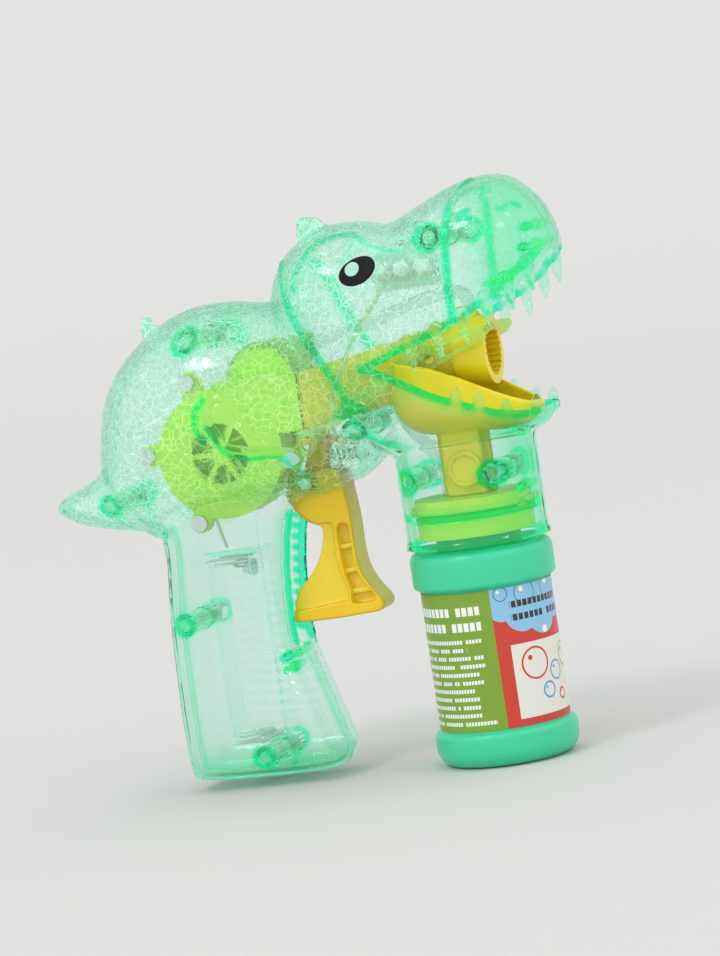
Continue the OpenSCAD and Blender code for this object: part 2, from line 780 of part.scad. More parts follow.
// Outline of the bottle's outer face, from the foot to the neck
function bottle_profile() = concat(
    [[0, 0], [bottle_r - 5, 0]],
    [for (a = [-90 : 15 : 0]) [bottle_r - 5 + 5 * cos(a), 5 + 5 * sin(a)]],
    [for (a = [0 : 22.5 : 90]) [bottle_r - 1.5 + 1.5 * cos(a), label_low - 2 + 1.5 * sin(a)]],
    [[label_r, label_low], [label_r, label_high], [label_r + 0.7, label_high + 0.5]],
    [for (a = [-90 : 22.5 : 0]) [bottle_r - 1.5 + 1.5 * cos(a), label_high + 2 + 1.5 * sin(a)]],
    [for (a = [0 : 15 : 90]) [bottle_r - 3 + 3 * cos(a), shoulder_z - 3 + 3 * sin(a)]],
    [[neck_r, shoulder_z], [neck_r, neck_top], [0, neck_top]]
);

module bottle() color("mediumseagreen") translate([bottle_x, 0, 0]) {
    rotate_extrude($fn = 96) difference() {
        union() {
            polygon(bottle_profile());
            for (z = [69.5, 73])
                translate([neck_r, z])
                    polygon([[-0.5, -0.9], [thread_h, -0.3], [thread_h, 0.3], [-0.5, 0.9]]);
        }
        translate([-1, bottle_wall]) square([label_r - bottle_wall + 1, shoulder_z - 2 * bottle_wall]);
        translate([-1, 10]) square([neck_r - bottle_wall + 1, 90]);
    }
}

module bottle_label() color("yellowgreen") translate([bottle_x, 0, 0]) difference() {
    translate([0, 0, label_low + 0.3])
        cylinder(r = label_r + 0.25, h = label_high - label_low - 0.6, $fn = 96);
    cylinder(r = label_r + 0.02, h = 80, $fn = 96);
}

// ---------- trigger and film wiper ----------

trigger_outline = [
    [9.2, 91.5], [11.4, 86.5], [12.9, 81], [13.2, 73], [13.3, 67], [14.3, 61.6], [16.9, 57], [19.4, 53.4],
    [19.2, 51.2], [16.6, 49.2], [2.5, 47.8], [-12.6, 47.8], [-12.4, 50.8], [-8.2, 58.6], [-4, 64.2],
    [-1.4, 69.4], [-0.4, 74.5], [-3.4, 77.2], [-6, 80.6], [-6.8, 86], [-5.6, 91]
];

module trigger() color("gold") difference() {
    union() {
        plate_xz(-trigger_w / 2, trigger_w / 2) {
            polygon(trigger_outline);
            translate(pivot) circle(r = 5.6);
        }
        plate_xz(-2.5, 2.5) polygon([
            pivot + [-3, 2], rod_pin + [-2.6, 0], rod_pin + [-1.5, 2.4], rod_pin + [1.5, 2.4],
            rod_pin + [2.6, 0], pivot + [5, 2]
        ]);
        bar_y(rod_pin, rod_pin_r, rod_near - 0.5, 0);
    }
    bar_y(pivot, pivot_r + run, -20, 20);
    for (s = [-1, 1])
        trigger_recess(s);
}

// Hollow on each flank: its rim, spine and cross ribs are left standing
module trigger_recess(side) {
    near = side < 0 ? -trigger_w / 2 - 1 : 2;
    plate_xz(near, near + trigger_w / 2 - 1) {
        polygon([[5.6, 78], [10.4, 78], [10.8, 67], [12, 60.8], [14.8, 55.8], [16.4, 53.2], [15.6, 51.4],
            [3.4, 50.4], [4.4, 58], [5.4, 66]]);
        polygon([[1.4, 74], [3.8, 74], [3.4, 66], [2.4, 58], [1.4, 50.4], [-9.4, 50.4], [-6, 56.6],
            [-1.8, 62.6], [0.8, 68.6]]);
    }
}

module trigger_pin() color("silver")
    bar_y(pivot, pivot_r, -pin_half, pin_half);

// Coil spring between the trigger's upper arm and the casing's stop
module trigger_spring() color("silver") {
    start = 5.3;
    end = stop_x - 0.4;
    turns = 6;
    per_turn = 10;
    swept([
        for (i = [0 : turns * per_turn])
            let (t = i / (turns * per_turn), a = 360 * i / per_turn)
            [start + (end - start) * t, 2.2 * cos(a), spring_z + 2.2 * sin(a)]
    ], 0.35, 6);
}

// Bent strip that the trigger slides forward: a slot at each end takes the pins' rise and fall
module push_rod() color("gold") {
    crank = [wiper_x - rod_travel / 2, nozzle_z + wiper_crank * cos(wiper_swing / 2)];
    plate_xz(rod_near, rod_far) difference() {
        union() {
            hull() for (z = [-1.2, 0.8]) translate(rod_pin + [0, z]) circle(r = 3);
            hull() {
                translate(rod_pin) circle(r = 1.8);
                translate(crank) circle(r = 1.8);
            }
            hull() for (z = [-0.5, 0.5]) translate(crank + [0, z]) circle(r = 2.6);
        }
        hull() for (z = [-1.2, 0.3]) translate(rod_pin + [0, z]) circle(r = rod_pin_r + 0.25);
        hull() for (z = [-0.2, 0.3]) translate(crank + [0, z]) circle(r = crank_r + 0.2);
    }
}

// Fork that carries a thin bar up across the nozzle's mouth
module film_wiper() color("gold") {
    translate([wiper_x, 0, nozzle_z]) rotate([0, -wiper_swing / 2, 0]) {
        for (s = [-1, 1]) difference() {
            plate_xz(s < 0 ? -arm_far : arm_near, s < 0 ? -arm_near : arm_far) difference() {
                union() {
                    circle(r = 3.2);
                    if (s < 0)
                        translate([0, wiper_crank]) circle(r = 2);
                    polygon([[0, 3], [0, -3], [wiper_arm - 2, -2.2], [wiper_arm + 1, -0.9],
                        [wiper_arm + 1, 0.9], [wiper_arm - 2, 2.2]]);
                }
                polygon([[5, -1.3], [wiper_arm - 4, -0.9], [wiper_arm - 4, 0.9], [5, 1.3]]);
            }
            bar_y([0, 0], 1.4 + run, -20, 20);
        }
        bar_y([wiper_arm, 0], 0.6, -arm_far + 0.2, arm_far - 0.2);
        bar_y([0, wiper_crank], crank_r, rod_near - 0.4, -arm_near - 0.2);
    }
}

// ---------- electrics ----------

// Two brass leaves on the spring stop: the trigger's bridge reaches them at full pull
module switch_contacts() color("goldenrod")
    for (s = [-1, 1]) {
        translate([leaf_x, s * 4.6 - 1, stop_top + 0.05]) cube([stop_x + 1.2 - leaf_x, 2, 0.4]);
        translate([leaf_x, s * 4.6 - 1, stop_top - 0.6]) cube([0.4, 2, 3]);
    }

module contact_bridge() color("goldenrod")
    translate([5.7, -5.6, stop_top]) cube([0.5, 11.2, 1.8]);

module circuit_board() color("seagreen")
    translate([27, -1, 143]) cube([20, 1.2, 12]);

module leds() color("white", 0.8)
    for (x = [30.5, 37, 43.5])
        translate([x, -1, 149]) rotate([90, 0, 0]) {
            cylinder(r = 2.5, h = 4.5);
            translate([0, 0, 4.5]) sphere(r = 2.5);
        }

// Leads: battery bay to motor, motor to switch, switch to the light board
module lead_wires() color("firebrick") {
    swept(smooth([
        [-34, 5, 72.2], [-37, 8, 80], [-40, 13, 88], [-39.5, 18, 95], [-38, 21.5, 99.5], [-31.9, 23.3, 102]
    ], 3), 0.6, 6);
    swept(smooth([
        [-18.1, 23.3, 102], [-10, 20.6, 101], [0, 15, 100], [10, 10, 98.6], [17, 6.4, 101.5]
    ], 3), 0.6, 6);
    swept(smooth([
        [17, -6.4, 101.5], [15.2, -11, 102.3], [13.8, -15.2, 102.9], [13.3, -18.6, 104.4], [14, -20, 109],
        [15.5, -20, 117], [20, -16, 127], [25, -8, 137], [29, -1.7, 143.6]
    ], 3), 0.6, 6);
}

// ---------- every node by name ----------

right_shell();
left_shell();
shell_screws();
battery_door();
battery_door_screw();
contact_springs();
contact_plates();
fan_housing();
fan_cover();
fan_screws();
motor_can();
motor_end_cap();
motor_terminals();
motor_plate();
motor_shaft();
impeller();
drive_pinion();
gear_axles();
reduction_gear();
pump_gear();
pump_roller(0);  // pump_roller_1
pump_roller(1);  // pump_roller_2
pump_housing();
pump_lid();
feed_hose();
air_duct();
nozzle();
drip_tray();
bottle_cap();
bottle_seal();
dip_tube();
bottle();
bottle_label();
trigger();
trigger_pin();
trigger_spring();
push_rod();
film_wiper();
switch_contacts();
contact_bridge();
circuit_board();
leds();
lead_wires();
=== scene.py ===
import json
import math

import bpy
import numpy as np
from mathutils import Matrix, Vector


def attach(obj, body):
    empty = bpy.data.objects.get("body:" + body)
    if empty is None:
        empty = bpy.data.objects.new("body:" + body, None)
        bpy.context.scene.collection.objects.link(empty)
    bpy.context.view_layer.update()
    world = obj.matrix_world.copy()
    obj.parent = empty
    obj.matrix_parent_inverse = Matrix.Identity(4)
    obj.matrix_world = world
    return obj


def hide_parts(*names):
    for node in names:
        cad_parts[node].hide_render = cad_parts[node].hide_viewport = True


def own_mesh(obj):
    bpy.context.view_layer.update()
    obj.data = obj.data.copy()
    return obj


# Looks of the bubble blaster. The casing, trigger, tray, spring, bottle and label are shaped here again,
# finer than in the CAD, and ride the CAD's bodies. All sizes are in millimetres, in the CAD's own frame.
# The moulded pieces are distance fields, negative inside, that are joined and cut on a grid and then meshed.

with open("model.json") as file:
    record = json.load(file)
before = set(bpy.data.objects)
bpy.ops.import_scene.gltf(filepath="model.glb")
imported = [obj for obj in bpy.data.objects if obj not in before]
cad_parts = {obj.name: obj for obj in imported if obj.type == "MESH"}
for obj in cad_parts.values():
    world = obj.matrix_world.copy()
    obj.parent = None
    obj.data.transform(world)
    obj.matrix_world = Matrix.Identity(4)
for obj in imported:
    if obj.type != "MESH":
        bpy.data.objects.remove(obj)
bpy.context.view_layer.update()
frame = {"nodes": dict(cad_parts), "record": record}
MM = 0.001


def spacing(full):
    """Mesh spacing of a moulded piece."""
    return full


STEP = spacing(0.62)
WALL = 1.8
FAR = 9.0            # a distance that stands for "nothing near"


# ---------- solid forms as distance fields, in millimetres ----------

class Grid:
    """A box of sample points, kept as three axes that broadcast against each other."""

    def __init__(self, lo, hi, step, axes=None):
        self.lo, self.step = np.array(lo, float), step
        if axes is None:
            n = np.ceil((np.array(hi, float) - self.lo) / step).astype(int) + 1
            axes = [(self.lo[i] + step * np.arange(n[i])).astype(np.float32) for i in range(3)]
        self.axes = axes
        self.x, self.y, self.z = axes[0][:, None, None], axes[1][None, :, None], axes[2][None, None, :]

    def part(self, lo, hi, pad):
        """The slices that cover a box, and the grid cut down to them."""
        cut = []
        for axis, values in enumerate(self.axes):
            i, j = np.searchsorted(values, (lo[axis] - pad, hi[axis] + pad))
            cut.append(slice(int(i), int(j)))
        return tuple(cut), Grid(lo, hi, self.step, [v[c] for v, c in zip(self.axes, cut)])


def turned(x, z, degrees):
    """X and Z turned about the origin, from X towards Z."""
    c, n = math.cos(math.radians(degrees)), math.sin(math.radians(degrees))
    return x * c - z * n, x * n + z * c


def smooth_loop(points, per=6, closed=True):
    """Catmull-Rom curve through the points."""
    p = np.array(points, float)
    n = len(p)
    out = []
    for i in range(n if closed else n - 1):
        if closed:
            a, b, c, d = p[i - 1], p[i], p[(i + 1) % n], p[(i + 2) % n]
        else:
            a, b, c, d = p[max(i - 1, 0)], p[i], p[i + 1], p[min(i + 2, n - 1)]
        for k in range(per):
            t = k / per
            out.append(0.5 * (2 * b + (c - a) * t + (2 * a - 5 * b + 4 * c - d) * t * t
                              + (3 * b - a - 3 * c + d) * t ** 3))
    if not closed:
        out.append(p[-1])
    return np.array(out)


def outline(g, points, per=6):
    """Signed distance in the XZ plane to a smooth closed outline, negative inside."""
    loop = smooth_loop(points, per) if per > 1 else np.array(points, float)
    x, z = np.meshgrid(g.axes[0], g.axes[2], indexing="ij")
    best = np.full(x.shape, 1e9)
    inside = np.zeros(x.shape, bool)
    for (ax, az), (bx, bz) in zip(loop, np.roll(loop, -1, 0)):
        ex, ez = bx - ax, bz - az
        t = np.clip(((x - ax) * ex + (z - az) * ez) / max(ex * ex + ez * ez, 1e-9), 0, 1)
        best = np.minimum(best, (x - ax - t * ex) ** 2 + (z - az - t * ez) ** 2)
        if az != bz:
            inside ^= ((az > z) != (bz > z)) & (x < (bx - ax) * (z - az) / (bz - az) + ax)
    d = np.sqrt(best)
    return np.where(inside, -d, d)[:, None, :].astype(np.float32)


def inflate(g, d2, half, r, p=2.0):
    """The solid whose middle plane is the outline and whose sides swell to the half width."""
    k = r / half
    a = np.maximum(d2 + r, 0)
    b = np.abs(g.y) * k
    length = (a ** p + b ** p) ** (1 / p)
    safe = np.maximum(length, 1e-3)
    slope = np.sqrt((a / safe) ** (2 * p - 2) + (k * (b / safe) ** (p - 1)) ** 2)
    return (length - r) / np.maximum(slope, 0.35)


def ellipsoid(g, c, r):
    x, y, z = (g.x - c[0]) / r[0], (g.y - c[1]) / r[1], (g.z - c[2]) / r[2]
    k0 = np.sqrt(x * x + y * y + z * z)
    k1 = np.sqrt((x / r[0]) ** 2 + (y / r[1]) ** 2 + (z / r[2]) ** 2)
    return k0 * (k0 - 1) / np.maximum(k1, 1e-6)


def capsule(g, a, b, ra, rb):
    a, b = np.array(a, float), np.array(b, float)
    e = b - a
    t = ((g.x - a[0]) * e[0] + (g.y - a[1]) * e[1] + (g.z - a[2]) * e[2]) / max(e @ e, 1e-9)
    t = np.clip(t, 0, 1)
    d = np.sqrt((g.x - a[0] - t * e[0]) ** 2 + (g.y - a[1] - t * e[1]) ** 2 + (g.z - a[2] - t * e[2]) ** 2)
    return d - (ra + (rb - ra) * t)


def block(g, lo, hi):
    q = [np.abs(v - (a + b) / 2) - (b - a) / 2 for v, a, b in zip((g.x, g.y, g.z), lo, hi)]
    return np.maximum(np.maximum(q[0], q[1]), q[2])


def bar_y(g, x, z, r, near, far):
    across = np.sqrt((g.x - x) ** 2 + (g.z - z) ** 2) - r
    return np.maximum(across, np.abs(g.y - (near + far) / 2) - (far - near) / 2)


def post_z(g, x, r, low, high):
    across = np.sqrt((g.x - x) ** 2 + g.y ** 2) - r
    return np.maximum(across, np.abs(g.z - (low + high) / 2) - (high - low) / 2)


def smin(a, b, k):
    h = np.clip(0.5 + 0.5 * (b - a) / k, 0, 1)
    return b + (a - b) * h - k * h * (1 - h)


def smax(a, b, k):
    return -smin(-a, -b, k)


def add(field, g, lo, hi, shape, k=0.5, marks=None):
    """Joins a form to the field, working only in the box that it covers."""
    at, sub = g.part(lo, hi, k + 2)
    if field[at].size:
        d = shape(sub)
        field[at] = smin(field[at], d, k)
        if marks is not None:
            marks[at] = np.minimum(marks[at], d)


def cut(field, g, lo, hi, shape, k=0.0):
    at, sub = g.part(lo, hi, k + 2)
    if field[at].size:
        d = -shape(sub)
        field[at] = smax(field[at], d, k) if k else np.maximum(field[at], d)


def strand(field, g, points, radii, k=0.6, marks=None):
    """A round rib through the points. radii is one radius, or one for each point."""
    radii = np.broadcast_to(radii, len(points))
    for a, b, ra, rb in zip(points, points[1:], radii, radii[1:]):
        a, b, pad = np.array(a), np.array(b), max(ra, rb)
        add(field, g, np.minimum(a, b) - pad, np.maximum(a, b) + pad,
            lambda s: capsule(s, a, b, ra, rb), k, marks)


def sample(field, g, p):
    """Trilinear reading of the field at points."""
    q = (p - g.lo) / g.step
    i = np.clip(np.floor(q).astype(int), 0, np.array(field.shape) - 2)
    t = q - i
    out = np.zeros(len(p))
    for dx in (0, 1):
        for dy in (0, 1):
            for dz in (0, 1):
                w = (t[:, 0] if dx else 1 - t[:, 0]) * (t[:, 1] if dy else 1 - t[:, 1])
                out += w * (t[:, 2] if dz else 1 - t[:, 2]) * field[i[:, 0] + dx, i[:, 1] + dy, i[:, 2] + dz]
    return out


def nets(field, g):
    """Surface nets: one vertex per crossed cell, quads across crossed edges."""
    f = np.ascontiguousarray(field, np.float32)
    s = f < 0
    nx, ny, nz = f.shape
    cells = (nx - 1, ny - 1, nz - 1)
    total = np.zeros(cells + (3,), np.float32)
    count = np.zeros(cells, np.float32)
    for a in [(i, j, k) for i in (0, 1) for j in (0, 1) for k in (0, 1)]:
        for axis in range(3):
            if a[axis]:
                continue
            b = list(a)
            b[axis] = 1
            fa = f[a[0]:nx - 1 + a[0], a[1]:ny - 1 + a[1], a[2]:nz - 1 + a[2]]
            fb = f[b[0]:nx - 1 + b[0], b[1]:ny - 1 + b[1], b[2]:nz - 1 + b[2]]
            hit = (fa < 0) != (fb < 0)
            t = np.where(hit, fa / np.where(hit, fa - fb, 1), 0)
            for ax in range(3):
                total[..., ax] += np.where(hit, t if ax == axis else a[ax], 0)
            count += hit
    used = count > 0
    index = np.full(cells, -1, np.int64)
    index[used] = np.arange(used.sum())
    verts = (np.argwhere(used) + total[used] / count[used][:, None]) * g.step + g.lo
    quads = []
    for axis in range(3):
        u, v = (axis + 1) % 3, (axis + 2) % 3
        lo, hi, inner = [slice(None)] * 3, [slice(None)] * 3, [slice(None)] * 3
        lo[axis], hi[axis] = slice(0, -1), slice(1, None)
        inner[u], inner[v] = slice(1, -1), slice(1, -1)
        cross = s[tuple(lo)] != s[tuple(hi)]
        at = np.argwhere(cross[tuple(inner)])
        at[:, u] += 1
        at[:, v] += 1
        flip = s[tuple(lo)][tuple(at.T)]
        ring = []
        for du, dv in ((0, 0), (-1, 0), (-1, -1), (0, -1)):
            c = at.copy()
            c[:, u] += du
            c[:, v] += dv
            ring.append(index[tuple(c.T)])
        q = np.stack(ring, 1)
        q[~flip] = q[~flip][:, ::-1]
        quads.append(q)
    return settle(field, g, verts, np.concatenate(quads))


def settle(field, g, verts, quads, rounds=3):
    """Evens out the mesh and brings it back to the surface each time."""
    e = 0.5 * g.step
    n = len(verts)
    ends = np.concatenate([quads, quads[:, ::-1]]).ravel()
    other = np.concatenate([np.roll(quads, -1, 1), np.roll(quads[:, ::-1], -1, 1)]).ravel()
    degree = np.maximum(np.bincount(ends, minlength=n), 1)
    for _ in range(rounds):
        mean = np.stack([np.bincount(ends, verts[other, i], n) for i in range(3)], 1) / degree[:, None]
        verts = verts + 0.5 * (mean - verts)
        f = sample(field, g, verts)
        rise = [sample(field, g, verts + d) - sample(field, g, verts - d) for d in np.eye(3) * e]
        grad = np.stack(rise, 1) / g.step
        size = np.maximum((grad ** 2).sum(1), 0.25)
        move = -(f / size)[:, None] * grad
        far = np.linalg.norm(move, axis=1)
        verts = verts + move * np.minimum(1, 0.4 * g.step / np.maximum(far, 1e-9))[:, None]
    return verts, quads


# ---------- meshes ----------

def make_object(name, verts, faces, smooth=True):
    mesh = bpy.data.meshes.new(name)
    verts = np.asarray(verts, np.float32) * MM
    mesh.vertices.add(len(verts))
    mesh.vertices.foreach_set("co", verts.ravel())
    faces = np.asarray(faces)
    n = faces.shape[1]
    mesh.loops.add(faces.size)
    mesh.loops.foreach_set("vertex_index", faces.ravel().astype(np.int32))
    mesh.polygons.add(len(faces))
    mesh.polygons.foreach_set("loop_start", (np.arange(len(faces)) * n).astype(np.int32))
    mesh.polygons.foreach_set("loop_total", np.full(len(faces), n, np.int32))
    mesh.polygons.foreach_set("use_smooth", np.full(len(faces), smooth))
    mesh.update(calc_edges=True)
    mesh.validate()
    ob = bpy.data.objects.new(name, mesh)
    bpy.context.scene.collection.objects.link(ob)
    return ob


def attribute(ob, name, values):
    a = ob.data.attributes.new(name, "FLOAT", "POINT")
    a.data.foreach_set("value", np.asarray(values, np.float32))


def lathe(name, profile, centre, around=160):
    """A body of revolution about a vertical axis. The profile is a closed loop of (radius, height)."""
    p = np.array(profile, float)
    a = np.linspace(0, 2 * math.pi, around, endpoint=False)
    radius, height = p[:, 0, None], p[:, 1, None]
    verts = np.stack([centre + radius * np.cos(a), radius * np.sin(a), height + 0 * a], 2)
    idx = np.arange(len(p) * around).reshape(len(p), around)
    nxt = np.roll(idx, -1, 0)
    quads = np.stack([idx, np.roll(idx, -1, 1), np.roll(nxt, -1, 1), nxt], 2).reshape(-1, 4)
    return make_object(name, verts.reshape(-1, 3), quads)


def finish_piece(ob, body, material, replaces=None):
    ob.data.materials.append(MATERIALS[material])
    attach(ob, body)
    if replaces:
        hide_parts(replaces)
    return ob


# ---------- the casing ----------

BOTTLE_X = 47.0
HOLDER_R = 21.3
RISER_R = 17.9       # the ledge above the cap is open inside this
HOLDER_LOW, LEDGE_LOW, LEDGE_HIGH = 66.0, 74.2, 76.0
PIVOT = (-1.0, 90.0)
FAN = (-25.0, 102.0)
SPRING_STOP = (16.4, -9, 80), (17.9, 9, 100.2)      # corners of the wall that the trigger's spring leans on
BAY = dict(back=-39.2, front=-23.4, low=14.0, high=70.0, wall=1.2)
SLOT_HALF = 7.5      # half width of the slot that the trigger comes out of
# outlines of the masses that the casing is blended from, all as X and Z
BODY = [(-66, 105), (-64, 116), (-60, 126), (-53, 134.5), (-44, 141), (-35, 145.3), (-25, 146.6),
        (-14, 145.5), (-4, 142), (8, 136), (20, 126), (28, 112), (27, 100), (18, 91), (8, 86), (-4, 84.3),
        (-20, 83), (-38, 81), (-52, 80), (-62, 88), (-66, 96)]
HEAD = [(-4.5, 140), (-3, 150), (1.5, 157.5), (8, 162.5), (16, 165), (25, 164.6), (32, 163), (38, 164.2),
        (45, 167.3), (54, 171), (62, 173), (69, 172.6), (74.5, 169.8), (79.8, 164), (83, 156.5), (84, 149),
        (81.5, 136), (75, 126), (62, 119), (48, 112), (36, 102), (26, 96), (16, 100), (7, 110), (0, 124)]
JAW = [(14, 118), (22, 126), (36, 127), (52, 118), (66, 112), (73, 109.6), (76.2, 104.9), (74.8, 100.4),
       (70, 96.8), (58, 94), (44, 92), (30, 93), (18, 100)]
TAIL = [(-50, 112), (-58, 107.5), (-65.8, 101.7), (-72.6, 97.4), (-78, 95.3), (-81.8, 93.6), (-83.4, 91),
        (-82.3, 88.3), (-79.2, 86), (-73.5, 83.7), (-64.6, 81.7), (-56, 80.3), (-50, 78.5), (-42, 90),
        (-42, 104)]
HANDLE = [(-49.8, 86), (-49.8, 72), (-51.3, 56), (-52.1, 40), (-52.4, 20), (-51.8, 8), (-49.5, 3.2),
          (-40, 2.2), (-25, 2.0), (-9, 2.4), (-3.4, 4.2), (-1.2, 8.5), (-2.9, 15), (-6.5, 28), (-10.4, 42),
          (-10.8, 54), (-9.6, 68), (-7, 80), (-4, 88), (-20, 95), (-40, 95)]
MOUTH = [(25.5, 122), (33, 123.6), (43, 127), (53, 130.6), (63, 135.2), (72, 140.8), (78, 145.6), (84, 151),
         (100, 164), (100, 100), (79, 103.6), (73, 103.2), (64.2, 104.6), (55.5, 107.9), (44, 112.9),
         (35.5, 118.3), (30, 121.2)]
TRIGGER_SLOT = [(-21.7, 40), (30, 40), (30, 60), (12, 90), (-10, 92), (-21.7, 80)]
POST_R = 3.3
POSTS = [(-62, 90.5), (-28, 137), (51.5, 157.5), (31.5, 86.5), (59, 86.5), (-43.5, 52), (-24.5, 9.5),
         (19.8, 104.5)]
# round bars that run across both halves: X, Z, half length
CROSS_BARS = [(78.2, 156.5, 16), (77.4, 150.8, 18), (65.4, 142.1, 9), (40.8, 109.4, 7), (57.1, 101.6, 7),
              (65.5, 97.8, 10), (-14.5, 38.6, 14), (-16.3, 34.2, 9), (64, 81, 9), (63.4, 76.3, 9)]
# teeth: X and Z of the root, and height
UPPER_TEETH = [(42, 127, 7.5), (50.5, 130, 8.5), (58.5, 133.5, 8.6), (66, 137.5, 8.6), (72.5, 141.7, 8.4),
               (78.2, 146, 8)]
LOWER_TEETH = [(52.3, 108.7, 4.6), (58.6, 106.2, 4.8), (65.8, 103.8, 4.4), (73, 103.2, 4.6)]
# lines of ribs and creases, which are laid on the casing's side
BROW = [(9.5, 148), (11, 153.2), (15.7, 159.3), (22.2, 161.4), (27.7, 160.7), (33.1, 157.3), (40.7, 155.1),
        (44.8, 155.4), (47.4, 158.3), (48, 162)]
CHEEK = [(3.4, 156), (4.8, 149.4), (8.3, 138.2), (13.3, 128.4), (18.6, 118.2), (20.7, 111.7)]
JAW_EDGE = [(20.7, 111.7), (21.6, 107.2), (24.3, 103), (28, 100.3), (32.5, 98.2)]
TAIL_CREASE = [(-61.2, 101.6), (-58.7, 94.6), (-50.1, 84.5), (-45, 80)]
PALATE = [(60.5, 141), (67.4, 142.3), (72.6, 145.9), (77, 149.7)]
# horns on the brow and the back: points, and the radius at each
HORNS = [([(10, 0, 160), (7.4, 0, 163), (7.2, 0, 166)], (3.2, 2.7, 2.2)),
         ([(14, 0, 162), (10.6, 0, 166), (7.6, 0, 166.6)], (2.4, 1.8, 1.8)),
         ([(-42.5, 0, 138.5), (-46.6, 0, 140.4), (-47.3, 0, 143.6)], (3.2, 2.4, 1.9)),
         ([(-57.5, 0, 124), (-60.2, 0, 126.4)], (2.6, 1.6))]
# the little arm: X, Y, Z and radius along it
ARM = [((-17.5, 26.4, 115), 6.2), ((-14.6, 27.2, 108.4), 5.2), ((-9.5, 27.9, 104.8), 3.6),
       ((-4, 28.2, 103.7), 2.8), ((2.2, 27.4, 102.9), 2.9)]
CLAWS = [(2.6, 25.8, 96.4), (8.4, 24.8, 97.4)]
ARM_EDGE = [(-22.4, 119.6), (-25.2, 115.8), (-25.6, 111), (-23.6, 107.4)]
ARM_UNDER = [(-22.2, 111.4), (-20, 107), (-17.4, 103.2), (-13.2, 101.3), (-8, 100.9), (-3.7, 100.8),
             (-0.4, 98.6), (2.2, 95.6)]
RING_STEMS = [((-61.3, 87.6), (-58, 83.4)), ((-46.6, 51.2), (-51, 50.6)), ((-24, 6.4), (-23.6, 2.6))]
SNOUT_RIB = [(62.6, 172), (58.7, 166.4), (57.2, 156.4), (56.3, 145), (56.1, 133.3)]
NOSTRIL_RIDGE = [(58.3, 165.5), (61.7, 168.4), (66.9, 168.9), (70.7, 167.6), (72.6, 164.5)]
NOSTRILS = [[(61.9, 162.2), (64.1, 163.4)], [(76.1, 163.5), (77.1, 162.9)]]
LIP_UP = [(26.5, 122.2), (33, 124.2), (43, 127.8), (53, 131.4), (63, 136.0), (72, 141.6), (78, 146.4),
          (81, 149)]
LIP_LOW = [(27, 121.7), (30.6, 120.6), (35.5, 117.6), (43.9, 112.2), (55.5, 107.2), (64.2, 103.9),
           (70, 102.7), (73.6, 102.9)]
EYE = (29.6, 150.8, 5.6, 3.9, 18.9)        # X, Z, half axes, tilt in degrees


def casing_field(g):
    """Outer surface of the whole casing, without arms, teeth and horns."""
    body = inflate(g, outline(g, BODY), 30.0, 26.0)
    body = smin(body, ellipsoid(g, (2, 0, 118), (24, 23.5, 27)), 6)
    wide = 27.0 - 3.0 * np.clip((g.x - 40) / 35, 0, 1)
    head = inflate(g, outline(g, HEAD), wide, 21.0, 2.2)
    jaw_w = 23.5 - 6.0 * np.clip((g.x - 52) / 26, 0, 1)
    jaw = inflate(g, outline(g, JAW), jaw_w, 13.0, 2.3)
    handle = inflate(g, outline(g, HANDLE), 17.5, 12.0, 2.5)
    tail = inflate(g, outline(g, TAIL), 15.5, 12.0)
    holder = post_z(g, BOTTLE_X, HOLDER_R, HOLDER_LOW, 98)
    d = smin(body, tail, 4)
    d = smin(d, handle, 3)
    d = smin(d, head, 1.2)
    smooth = np.minimum(np.minimum(handle, holder), jaw)
    d = smin(d, jaw, 1.5)
    d = smin(d, holder, 1.5)
    return d, np.minimum(body, head) - smooth


def half_width(field, g, x, z):
    """Where the outer surface stands at a given X and Z, as a distance from the joint."""
    y = np.linspace(0.2, 34, 170)
    side = 1 if g.axes[1][-1] > 5 else -1
    f = sample(field, g, np.stack([0 * y + x, side * y, 0 * y + z], 1))
    inside = y[f < 0]
    return float(inside.max()) if len(inside) else 0.2


def follow(field, g, side, line, per=5, inset=0.0):
    """Turns a line in X and Z into one that lies on the casing's side."""
    pts = smooth_loop(line, per, closed=False)
    w = np.array([half_width(field, g, x, z) for x, z in pts])
    for _ in range(3):
        w[1:-1] = (w[:-2] + 2 * w[1:-1] + w[2:]) / 4
    return [(x, side * max(v - inset, 0.2), z) for (x, z), v in zip(pts, w)]


def ellipse_ring(field, g, side, grow, inset, count=28):
    """A ring round the eye, on the casing's side."""
    x, z, a, b, tilt = EYE
    out = []
    for turn in np.linspace(0, 2 * math.pi, count + 1):
        dx, dz = turned(grow * a * math.cos(turn), grow * b * math.sin(turn), tilt)
        out.append((x + dx, side * (half_width(field, g, x + dx, z + dz) - inset), z + dz))
    return out


def raised_forms(g, side, field):
    """Horns and the little arm: they are hollow, so they are joined before the wall is made."""
    for line, radii in HORNS:
        strand(field, g, line, radii, 1.0)
    arm = np.full(field.shape, FAR, np.float32)
    points = [(x, side * y, z) for (x, y, z), _ in ARM]
    strand(arm, g, points, [r for _, r in ARM], 1.0)
    for x, y, z in CLAWS:
        strand(arm, g, [points[-1], (x - 0.2, side * (y + 1), z + 3), (x, side * y, z)], [2.4, 1.7, 0.9], 0.6)
    field[:] = smin(field, arm, 0.6)
    return arm


